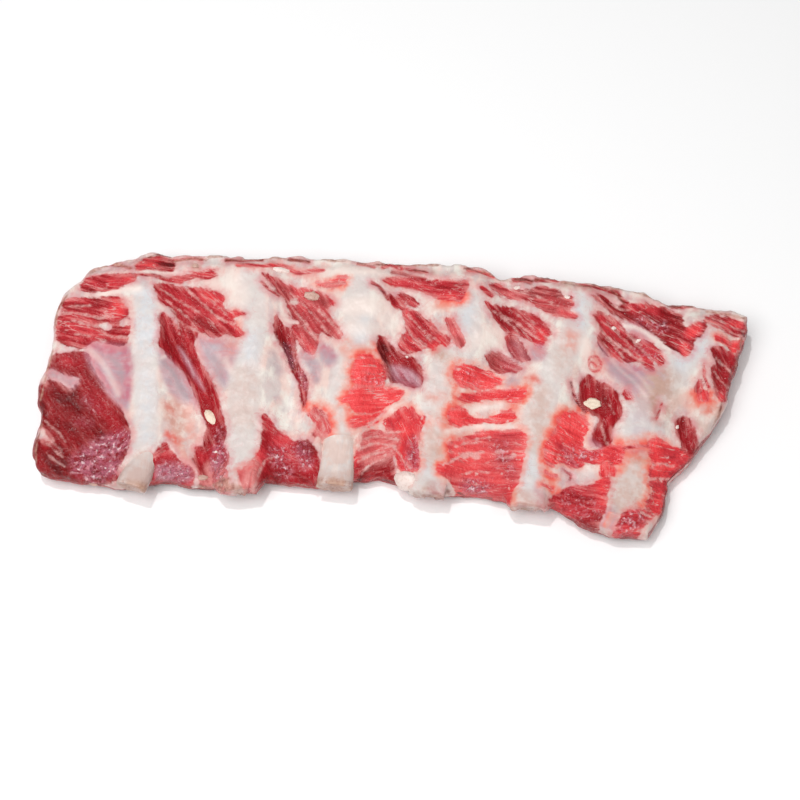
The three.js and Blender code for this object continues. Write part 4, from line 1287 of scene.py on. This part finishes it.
class Shader:
    """A material's node tree, built by short calls."""

    def __init__(self, name):
        self.material = bpy.data.materials.new(name)
        self.material.use_nodes = True
        self.tree = self.material.node_tree
        self.place = self.scaled(self.node("TexCoord", {}, "Object"), 1 / MM)

    def plug(self, socket, value):
        if isinstance(value, Value):
            self.tree.links.new(value.socket, socket)
        else:
            socket.default_value = value

    def surface(self, name, value):
        self.plug(self.tree.nodes["Principled BSDF"].inputs[name], value)

    def node(self, kind, inputs, output=0, **settings):
        """Adds a node with its settings and inputs, and gives what comes out of it."""
        node = self.tree.nodes.new("ShaderNode" + kind)
        for name, setting in settings.items():
            setattr(node, name, setting)
        for name, value in inputs.items():
            self.plug(node.inputs[name], value)
        return Value(self, node.outputs[output])

    def number(self, name):
        return self.node("Attribute", {}, "Fac", attribute_name=name)

    def vector(self, name):
        return self.node("Attribute", {}, "Vector", attribute_name=name)

    def scaled(self, vector, factors):
        """A vector times a number, or times three, one for each axis."""
        factors = factors if isinstance(factors, tuple) else (factors,) * 3
        return self.node("VectorMath", {0: vector, 1: factors}, operation="MULTIPLY")

    def noise(self, place, waves_per_mm, detail=2.0, roughness=0.5, distortion=0.0):
        return self.node("TexNoise", {
            "Vector": self.scaled(place, waves_per_mm), "Scale": 1.0,
            "Detail": detail, "Roughness": roughness, "Distortion": distortion,
        })

    def cells(self, waves_per_mm, feature="F1"):
        """Distance to the middle, or to the edge, of the cell around each place."""
        inputs = {"Vector": self.scaled(self.place, waves_per_mm), "Scale": 1.0}
        return self.node("TexVoronoi", inputs, "Distance", feature=feature)

    def math(self, operation, first, second=0.0):
        return self.node("Math", {0: first, 1: second}, operation=operation)

    def ramp(self, value, stops):
        """A band of colours, each at its place from 0 to 1."""
        tint = self.node("ValToRGB", {"Fac": value}, "Color")
        band = tint.socket.node.color_ramp
        while len(band.elements) < len(stops):
            band.elements.new(0.5)
        for element, (place, stop) in zip(band.elements, stops):
            element.position = place
            element.color = stop
        return tint

    def mix(self, share, first, second):
        """The first colour where the share is 0 and the second where it is 1."""
        return self.node("Mix", {"Factor": share, 6: first, 7: second}, 2, data_type="RGBA")

    def bump(self, height, distance):
        self.surface("Normal", self.node("Bump", {"Distance": distance, "Height": height}, "Normal"))


BLACK_RED = colour(98, 10, 14)
MAROON = colour(132, 12, 18)
DARK_RED = colour(166, 24, 34)
RED = colour(200, 52, 60)
BRIGHT_RED = colour(228, 58, 62)
SCARLET = colour(242, 76, 78)
PALE_FIBRE = colour(220, 142, 138)
SEAM_FAT = colour(228, 178, 172)
FAT_WHITE = colour(230, 223, 214)
FAT_PINK = colour(228, 196, 187)
MEMBRANE_GREY = colour(202, 188, 186)
RIB_MEMBRANE = colour(213, 203, 199)
VEIN = colour(206, 110, 112)
# Pink and orange of the blood staining and painted shade in the fat along the muscle's edge
STAIN_AND_SHADE_ORANGE = colour(232, 132, 116)
STAIN_AND_SHADE_PINK = colour(208, 128, 134)
HALO_PALE = colour(232, 160, 142)
HALO_RED = colour(232, 96, 84)
FILM_ON_MUSCLE = colour(184, 112, 126)
FILM_LILAC = colour(204, 158, 170)
FILM_PINK = colour(192, 122, 136)
FILM_GREY = colour(174, 148, 160)
# Painted sheen: the pale streaks on silverskin
FILM_SHEEN_STREAK = colour(208, 180, 188)
# Also the colour of one painted highlight along the silverskin
CLEAN_WHITE_AND_SHEEN = colour(240, 222, 213)
BRUISE = colour(192, 106, 126)
# Painted highlight: the white of the glints painted on granular muscle
GRAIN_PINK = colour(228, 144, 156)
PAINTED_GLINT_WHITE = colour(246, 212, 216)
CRUST_GREY = colour(214, 178, 170)
CRUST_TAN = colour(196, 148, 132)
CRUST_BROWN = colour(142, 76, 62)
CRUST_DARK = colour(90, 26, 22)
TINTS = {
    "salmon": colour(220, 148, 134),
    "blue": colour(208, 209, 212),
    "beige": colour(206, 178, 168),
    "tan": colour(178, 134, 116),
    "blood": colour(220, 96, 84),
    "silver": colour(200, 180, 182),
    "rose": colour(190, 96, 116),
    "ash": colour(172, 150, 156),
}
FLESH_BAND = [
    (0.0, BLACK_RED), (0.12, MAROON), (0.35, DARK_RED), (0.55, RED), (0.8, BRIGHT_RED), (1.0, SCARLET),
]
CRUST_BAND = [(0.0, CRUST_GREY), (0.3, CRUST_TAN), (0.65, CRUST_BROWN), (1.0, CRUST_DARK)]
BONE_WHITE = colour(222, 206, 198)
BONE_BLUE = colour(212, 202, 198)
BONE_BEIGE = colour(214, 186, 176)
BONE_GREY = colour(192, 164, 156)
BONE_DRIED = colour(186, 146, 126)
MARROW = colour(164, 108, 98)
# Also the white of the small beads that are painted glints
CRUMB_WHITE = colour(244, 224, 216)
CRUMB_CREAM = colour(240, 222, 200)
CRUMB_TAN = colour(206, 166, 152)
CRUMB_BAND = [(0.0, CRUMB_WHITE), (0.5, CRUMB_CREAM), (1.0, CRUMB_TAN)]


def muscle_colour(skin, fibre, sure):
    """Red muscle: its tone in soft blotches, paler and darker fibres and a few lines of marbling."""
    broad = skin.noise(fibre, (0.06, 0.13, 0.1), detail=3)
    streaks = skin.noise(fibre, (0.06, 0.4, 0.3), detail=3)
    fine = skin.noise(fibre, (0.3, 1.6, 1.0))
    tone = skin.number("tone")
    redness = tone + broad.spread(-0.5, 0.5) * sure.spread(0.45, 1)
    redness = redness + streaks.spread(-0.42, 0.42) * sure + fine.spread(-0.08, 0.08)
    pale = (streaks + fine.spread(-0.1, 0.1)).step(0.53, 0.74, 0, 0.5) * tone.step(0.55, 0.9, 1, 0.55)
    flesh = skin.mix(pale * sure, skin.ramp(redness, FLESH_BAND), PALE_FIBRE)
    lines = skin.noise(fibre, (0.03, 0.2, 0.2), detail=3)
    marbling = abs(lines - 0.5).step(0, 0.02, 0.65, 0) * broad.step(0.42, 0.58)
    return skin.mix(marbling * sure, flesh, SEAM_FAT), streaks, fine


def fat_colour(skin, film, silver):
    """White fat and membrane with silverskin and its painted sheen streaks, pink, blue, beige and tan places
    and fine blood vessels.
    """
    patches = skin.noise(skin.place, (0.09, 0.07, 0.1), detail=3.5, roughness=0.55)
    greys = skin.noise(skin.place, (0.16, 0.06, 0.1), detail=3, roughness=0.55)
    fat = skin.mix(patches.step(0.4, 0.6, 0, 0.85), FAT_WHITE, FAT_PINK)
    fat = skin.mix(greys.step(0.46, 0.62, 0, 0.7), fat, MEMBRANE_GREY)
    fat = skin.mix(skin.number("rib") * 0.8, fat, RIB_MEMBRANE)
    fat = skin.mix(film * 0.95, fat, silver)
    uneven = skin.noise(skin.place, 0.2, detail=3, roughness=0.55).step(0.34, 0.62, 0.4, 1.15)
    for name, tint in TINTS.items():
        fat = skin.mix(skin.number(name) * uneven, fat, tint)
    vessels = skin.noise(skin.place, 0.16, detail=3, distortion=1.2)
    return fat, uneven, abs(vessels - 0.5).step(0, 0.014, 0.45, 0)


def skin_material():
    skin = Shader("raw_meat")
    fibre = skin.vector("fibre")
    sure = skin.number("sure")
    muscle, streaks, fine = muscle_colour(skin, fibre, sure)
    veins = skin.noise(fibre, (0.05, 0.16, 0.12))
    silver = skin.mix(veins.step(0.38, 0.62), FILM_PINK, FILM_GREY)
    # Painted sheen streaks on the silverskin over fat
    silver = skin.mix(streaks.step(0.5, 0.7, 0, 0.5), silver, FILM_SHEEN_STREAK)
    film = skin.number("film") * veins.spread(0.7, 1.2)
    fat, uneven, vessels = fat_colour(skin, film, silver)
    ragged = skin.noise(skin.place, 0.3)
    depth = frayed_depth(skin, fibre, sure, ragged)
    fat = stained_fat(skin, fat, uneven, vessels, depth)
    open_muscle = depth.step(-1, 0.4)
    muscle = veiled_muscle(skin, muscle, streaks, depth, ragged, uneven)
    muscle, clots = granular(skin, muscle)
    lilac = skin.mix(veins.step(0.42, 0.6), FILM_ON_MUSCLE, FILM_LILAC)
    # Painted sheen streaks on the silverskin over muscle
    lilac = skin.mix(streaks.step(0.5, 0.68, 0, 0.6), lilac, FILM_SHEEN_STREAK)
    muscle = skin.mix(film * streaks.step(0.3, 0.6, 0.55, 0.95), muscle, lilac)
    skin.surface("Base Color", crusted(skin, skin.mix(open_muscle, fat, muscle), ragged))
    wet_finish(skin, streaks, fine, open_muscle, sure, clots)
    return skin.material


def frayed_depth(skin, fibre, sure, ragged):
    """Depth inside the muscle in mm, its edge pulled about along the fibres."""
    fray = skin.noise(fibre, (0.1, 0.35, 0.3)).spread(-2, 2) * sure
    jagged = fray + ragged.spread(-1.4, 1.4)
    return skin.number("muscle") + jagged * skin.number("ragged")


def stained_fat(skin, fat, uneven, vessels, depth):
    """Blood vessels in the fat, stronger near the muscle; a pink to orange band along the muscle's edge that
    is blood staining and painted shade; halos and clean white places, one of them a painted highlight.
    """
    fat = skin.mix(vessels * depth.step(-9, -1, 0.25, 1), fat, VEIN)
    stain_and_shade = skin.mix(skin.number("tone").step(0.35, 0.8), STAIN_AND_SHADE_PINK, STAIN_AND_SHADE_ORANGE)
    # Painted shade and blood staining: the fat darkened pink to orange within 5 mm of the muscle
    fat = skin.mix(depth.step(-5, -0.5) * uneven * 0.6, fat, stain_and_shade)
    halo = skin.number("halo") * uneven
    fat = skin.mix(halo * depth.step(-9, -1) * 0.75, fat, HALO_PALE)
    fat = skin.mix(halo * depth.step(-4.5, 0), fat, HALO_RED)
    # Clean white fat, and one painted highlight stroke along the silverskin
    return skin.mix(skin.number("white"), fat, CLEAN_WHITE_AND_SHEEN)


def veiled_muscle(skin, muscle, streaks, depth, ragged, uneven):
    """Muscle paler at its edge and where fascia covers it, with seams of fat between its bundles."""
    muscle = skin.mix(depth.step(0.3, 3, 0.5, 0) * streaks.step(0.42, 0.62), muscle, PALE_FIBRE)
    muscle = skin.mix(skin.number("faded") * streaks.step(0.35, 0.6, 0.55, 1.5), muscle, PALE_FIBRE)
    seam = skin.number("seam") + ragged.spread(-1.4, 1.4)
    muscle = skin.mix(seam.step(-0.9, 0.8, 0.7, 0), muscle, SEAM_FAT)
    bundles = skin.cells((0.05, 0.05, 0.2), "DISTANCE_TO_EDGE") + ragged.spread(-0.12, 0.12)
    bundles = bundles.step(0, 0.06, 0.35, 0) * skin.number("hidden") * uneven.step(0.5, 1)
    return skin.mix(bundles, muscle, SEAM_FAT)


def granular(skin, muscle):
    """Cut muscle bruised purple in places, with pink lumps, painted white glints on them, and painted pale
    highlight spots on the fresher muscle.
    """
    blots = skin.noise(skin.place, 0.26, detail=4, roughness=0.65)
    muscle = skin.mix(skin.number("purple") * blots.step(0.38, 0.56, 0.1, 1), muscle, BRUISE)
    lumps = skin.noise(skin.place, 0.42, detail=3, roughness=0.6)
    clots = skin.number("grain") * lumps.step(0.46, 0.62)
    muscle = skin.mix(clots * 0.75, muscle, GRAIN_PINK)
    # Painted highlights: white glints on the pink lumps where this noise peaks
    glint_specks = skin.noise(skin.place, 0.48, detail=1)
    muscle = skin.mix(clots * glint_specks.step(0.5, 0.66), muscle, PAINTED_GLINT_WHITE)
    # Painted highlights: pale spots in the colour of seam fat on the fresher muscle
    painted_glint_dots = skin.cells(0.14) + glint_specks.spread(-0.3, 0.3)
    fresh = skin.number("tone").step(0.35, 0.7)
    return skin.mix(painted_glint_dots.step(0, 0.16, 0.75, 0) * fresh, muscle, SEAM_FAT), clots


def crusted(skin, flesh, ragged):
    """Tan to brown dried crust in broken patches along the edges, and a painted shade line under part of the
    front edge.
    """
    mottled = skin.noise(skin.place, 0.35, detail=3, roughness=0.6)
    crust = skin.ramp(skin.number("browned") + mottled.spread(-0.7, 0.7), CRUST_BAND)
    amount = skin.number("crust") + ragged.spread(-0.6, 0.6)
    return skin.mix(amount.step(0.35, 1.1, 0, 0.8), flesh, crust)


def wet_finish(skin, streaks, fine, open_muscle, sure, clots):
    """Small wet lumps that glint on the muscle, smoother fat, and fibres."""
    lumps = skin.noise(skin.place, 0.5, detail=3, roughness=0.6)
    soft = skin.noise(skin.place, 0.12)
    grain = skin.number("grain")
    rough = (open_muscle.spread(0.1, 0.9) + grain) * skin.number("rib").spread(1, 0.35)
    wet = lumps.spread(-0.5, 0.5) * rough + soft + clots * 0.5
    fibres = (fine.spread(-0.13, 0.13) + streaks.spread(-0.45, 0.45)) * open_muscle * sure
    skin.bump(fibres + wet, 1.2 * MM)
    shiny = lumps.step(0.46, 0.6) * open_muscle.spread(0.15, 1) * grain.spread(0.75, 1)
    skin.surface("Roughness", shiny.spread(0.38, 0.12))
    skin.surface("Specular IOR Level", shiny.spread(0.2, 0.46))


def bone_material():
    bone = Shader("rib_bone")
    streaks = bone.noise(bone.place, (0.5, 0.06, 0.4), detail=4, roughness=0.6)
    blots = bone.noise(bone.place, 0.12, detail=4, roughness=0.6)
    pores = bone.noise(bone.place, 0.8, detail=4, roughness=0.7)
    tip = bone.number("tip")
    shaft = bone.mix(streaks.step(0.4, 0.6), BONE_WHITE, BONE_BLUE)
    shaft = bone.mix(blots.step(0.42, 0.62, 0, 0.8), shaft, BONE_BEIGE)
    shaft = bone.mix(bone.number("end") * blots.step(0.3, 0.6, 0.3, 0.75), shaft, BONE_GREY)
    shaft = bone.mix(tip * blots.step(0.36, 0.6, 0.1, 1), shaft, BONE_DRIED)
    shaft = bone.mix(tip * pores.step(0.5, 0.64, 0, 0.7), shaft, MARROW)
    spongy = bone.mix(pores.step(0.35, 0.6), MARROW, BONE_BEIGE)
    core = bone.number("core").step(0.05, 0.7, 0, 0.7)
    bone.surface("Base Color", bone.mix(core, shaft, spongy))
    bone.bump(streaks * 0.4 + pores * core, 0.8 * MM)
    bone.surface("Roughness", blots.spread(0.3, 0.55))
    return bone.material


def crumb_material():
    crumb = Shader("fat_crumb")
    blots = crumb.noise(crumb.place, 0.7, detail=4, roughness=0.65)
    fat = crumb.ramp(crumb.number("brownness"), CRUMB_BAND)
    crumb.surface("Base Color", crumb.mix(blots.step(0.5, 0.7, 0, 0.5), fat, CRUMB_TAN))
    crumb.bump(blots, 0.5 * MM)
    crumb.surface("Roughness", blots.spread(0.25, 0.5))
    return crumb.material


# ---------------------------------------------------------------- pieces

CRUMB_BROWNNESS = {"white": 0.0, "cream": 0.5, "tan": 1.0}
CRUMB_AIM_HEIGHT = 20 * MM
CRUMB_LUMPS = 1.4  # waves to a crumb's radius
CRUMB_PIMPLES = 4
CRUMB_PIMPLE_SHARE = 0.3
CRUMB_NOISE_STEP = 10  # between one crumb's place in the noise and the next one's
MERGE_DISTANCE = 0.01 * MM
SHARP_ANGLE = 1.0
SHARP_CREASE = 0.9
ROUNDING_LEVELS = 3
RIB_LUMPS_MM = 0.25
RIB_LUMP_SIZE_MM = 7
RIB_PIMPLES_MM = 0.12
TIP_PIMPLES_MM = 0.3
RIB_PIMPLE_SIZE_MM = 2
SAWN_END_MM = (1, 6)  # distances from a rib's end between which its roughened tip fades out
GREY_FROM_MM = 2
GREY_TO_MM = {"rib_1": 44}  # distance from a rib's end at which its greyer part ends
OTHERS_GREY_TO_MM = 12
CORE_DEPTH_MM = 3.0
CORE_ROUNDNESS = 2.6


def make_skin(bone_tree):
    skin = Skin(Outline(), bone_tree)
    mesh = new_mesh("meat_slab", skin.points * MM, skin_faces())
    piece = new_piece("meat_slab", mesh, skin_material())
    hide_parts("meat")
    add_numbers(piece, {
        "muscle": skin.muscle * PIXEL_MM,
        "seam": skin.seam * PIXEL_MM,
        "tone": skin.tone,
        "ragged": skin.ragged,
        "sure": skin.sure,
        "browned": skin.browned,
        "hidden": skin.hide,
        "rib": (1 - ease(skin.rib_gap, *RIB_EDGE_PX)) * (1 - skin.hide),
        **skin.shown,
    })
    add_vectors(piece, "fibre", skin.fibre)
    return piece


def crumb_form(size, lumpiness, seed):
    """Points and faces of one lumpy crumb around the origin, mm, lying along x."""
    ball = bmesh.new()
    bmesh.ops.create_icosphere(ball, subdivisions=4, radius=1)
    points = np.array([vertex.co[:] for vertex in ball.verts])
    faces = [[vertex.index for vertex in face.verts] for face in ball.faces]
    ball.free()
    lumps = rough_waves(points * CRUMB_LUMPS + CRUMB_NOISE_STEP * seed, seed)
    lumps += CRUMB_PIMPLE_SHARE * waves(points * CRUMB_PIMPLES, seed + 5)
    points *= 1 + lumpiness * lumps[:, None]
    return points * np.array(size) / 2, faces


def make_crumbs_and_glint_beads(surface):
    """Loose crumbs of fat, and small white beads that are painted glints, which lie half sunk on the slab
    where the photo shows them.
    """
    points = []
    faces = []
    brownness = []
    for seed, (px, py, length, width, height, turn, lumpiness, tone) in enumerate(CRUMBS_AND_GLINT_BEADS_PX):
        target = Vector(from_photo((px, py), CRUMB_AIM_HEIGHT))
        hit, normal = surface.ray_cast(Vector(EYE), target - Vector(EYE))[:2]
        form, form_faces = crumb_form((length, width, height), lumpiness, seed)
        lean = Vector((0, 0, 1)).rotation_difference(normal).to_matrix()
        turn = math.radians(turn)
        along, across = math.cos(turn), math.sin(turn)
        spin = np.array([[along, across, 0], [-across, along, 0], [0, 0, 1]])
        first = len(points)
        points += list(form @ spin @ np.array(lean).T * MM + np.array(hit))
        faces += [[first + index for index in face] for face in form_faces]
        brownness += [CRUMB_BROWNNESS[tone]] * len(form)
    piece = new_piece("fat_crumbs_and_glint_beads", new_mesh("fat_crumbs_and_glint_beads", points, faces), crumb_material())
    add_numbers(piece, {"brownness": brownness})


def rounded_mesh(source):
    """A copy of a mesh with its faces divided and rounded, but for its sharpest edges."""
    form = bmesh.new()
    form.from_mesh(source)
    bmesh.ops.remove_doubles(form, verts=form.verts, dist=MERGE_DISTANCE)
    crease = form.edges.layers.float.new("crease_edge")
    form.normal_update()
    for edge in form.edges:
        sharp = len(edge.link_faces) == 2 and edge.calc_face_angle() > SHARP_ANGLE
        edge[crease] = SHARP_CREASE if sharp else 0.0
    angular = bpy.data.meshes.new(source.name + "_angular")
    form.to_mesh(angular)
    form.free()
    model = bpy.data.objects.new(angular.name, angular)
    bpy.context.scene.collection.objects.link(model)
    divided = model.modifiers.new("rounding", "SUBSURF")
    divided.levels = ROUNDING_LEVELS
    divided.render_levels = ROUNDING_LEVELS
    graph = bpy.context.evaluated_depsgraph_get()
    rounded = bpy.data.meshes.new_from_object(model.evaluated_get(graph))
    bpy.data.objects.remove(model)
    return rounded


def make_rib(node_name, material):
    """A rib from its CAD node: rounded, roughened, with a sawn tip."""
    mesh = rounded_mesh(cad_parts[node_name].data)
    points = coordinates(mesh) / MM
    normals = np.array([vertex.normal[:] for vertex in mesh.vertices])
    from_end = points[:, 1] - points[:, 1].min()
    near_tip = 1 - ease(from_end, *SAWN_END_MM)
    lumps = RIB_LUMPS_MM * rough_waves(points / RIB_LUMP_SIZE_MM, seed=31)
    lumps += (RIB_PIMPLES_MM + TIP_PIMPLES_MM * near_tip) * waves(points / RIB_PIMPLE_SIZE_MM, seed=33)
    mesh.vertices.foreach_set("co", ((points + normals * lumps[:, None]) * MM).ravel())
    piece = new_piece(node_name + "_bone", mesh, material)
    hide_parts(node_name)
    add_numbers(piece, {
        "core": sawn_core(points),
        "tip": near_tip,
        "end": 1 - ease(from_end, GREY_FROM_MM, GREY_TO_MM.get(node_name, OTHERS_GREY_TO_MM)),
    })
    return piece


def sawn_core(points):
    """How near each point of the sawn tip is to the middle of the bone, 0 at its side."""
    tip = points[:, 1] < points[:, 1].min() + CORE_DEPTH_MM
    low = points[tip].min(axis=0)
    high = points[tip].max(axis=0)
    off = np.abs((2 * points - low - high) / (high - low))
    radius = (off[:, 0] ** CORE_ROUNDNESS + off[:, 2] ** CORE_ROUNDNESS) ** (1 / CORE_ROUNDNESS)
    return np.where(tip, np.clip(1 - radius, 0, 1), 0)


# ---------------------------------------------------------------- studio

FLOOR_HALF = 3.0
FLOOR_COLOUR = (0.97, 0.97, 0.97, 1)
FLOOR_ROUGHNESS = 0.9
WORLD_STRENGTH = 0.3


def make_camera():
    data = bpy.data.cameras.new("camera")
    data.lens = LENS_MM
    data.sensor_width = SENSOR_MM
    data.clip_start = NEAREST_SEEN
    data.clip_end = FURTHEST_SEEN
    camera = bpy.data.objects.new("camera", data)
    camera.location = EYE
    camera.rotation_mode = "QUATERNION"
    camera.rotation_quaternion = Vector(TOWARDS_CAMERA).to_track_quat("Z", "Y")
    bpy.context.scene.collection.objects.link(camera)
    bpy.context.scene.camera = camera


def make_floor():
    corners = [(-FLOOR_HALF, -FLOOR_HALF, 0), (FLOOR_HALF, -FLOOR_HALF, 0), (FLOOR_HALF, FLOOR_HALF, 0),
               (-FLOOR_HALF, FLOOR_HALF, 0)]
    mesh = new_mesh("floor", corners, [(0, 1, 2, 3)])
    paper = bpy.data.materials.new("pale_floor")
    paper.use_nodes = True
    surface = paper.node_tree.nodes["Principled BSDF"]
    surface.inputs["Base Color"].default_value = FLOOR_COLOUR
    surface.inputs["Roughness"].default_value = FLOOR_ROUGHNESS
    mesh.materials.append(paper)
    floor = bpy.data.objects.new("floor", mesh)
    bpy.context.scene.collection.objects.link(floor)


def add_light(name, place, size, power):
    data = bpy.data.lights.new(name, "AREA")
    data.size = size
    data.energy = power
    light = bpy.data.objects.new(name, data)
    light.location = place
    light.rotation_mode = "QUATERNION"
    light.rotation_quaternion = Vector(place).to_track_quat("Z", "Y")
    bpy.context.scene.collection.objects.link(light)


def make_lights():
    add_light("key", place=(-0.45, -0.45, 1.35), size=0.9, power=12.5)
    add_light("fill", place=(0.7, -0.7, 1.3), size=1.4, power=4)
    add_light("glint", place=(-0.25, 0.1, 1.5), size=0.05, power=6)
    world = bpy.data.worlds.new("studio")
    world.use_nodes = True
    background = world.node_tree.nodes["Background"]
    background.inputs["Color"].default_value = (1, 1, 1, 1)
    background.inputs["Strength"].default_value = WORLD_STRENGTH
    bpy.context.scene.world = world
    bpy.context.scene.view_settings.view_transform = "Standard"


# ---------------------------------------------------------------- the whole

make_camera()
make_floor()
make_lights()
rib_names = sorted(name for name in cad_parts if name.startswith("rib_"))
bone = bone_material()
ribs = [make_rib(name, bone) for name in rib_names]
slab = make_skin(mesh_tree([rib.data for rib in ribs]))
make_crumbs_and_glint_beads(mesh_tree([slab.data] + [rib.data for rib in ribs]))
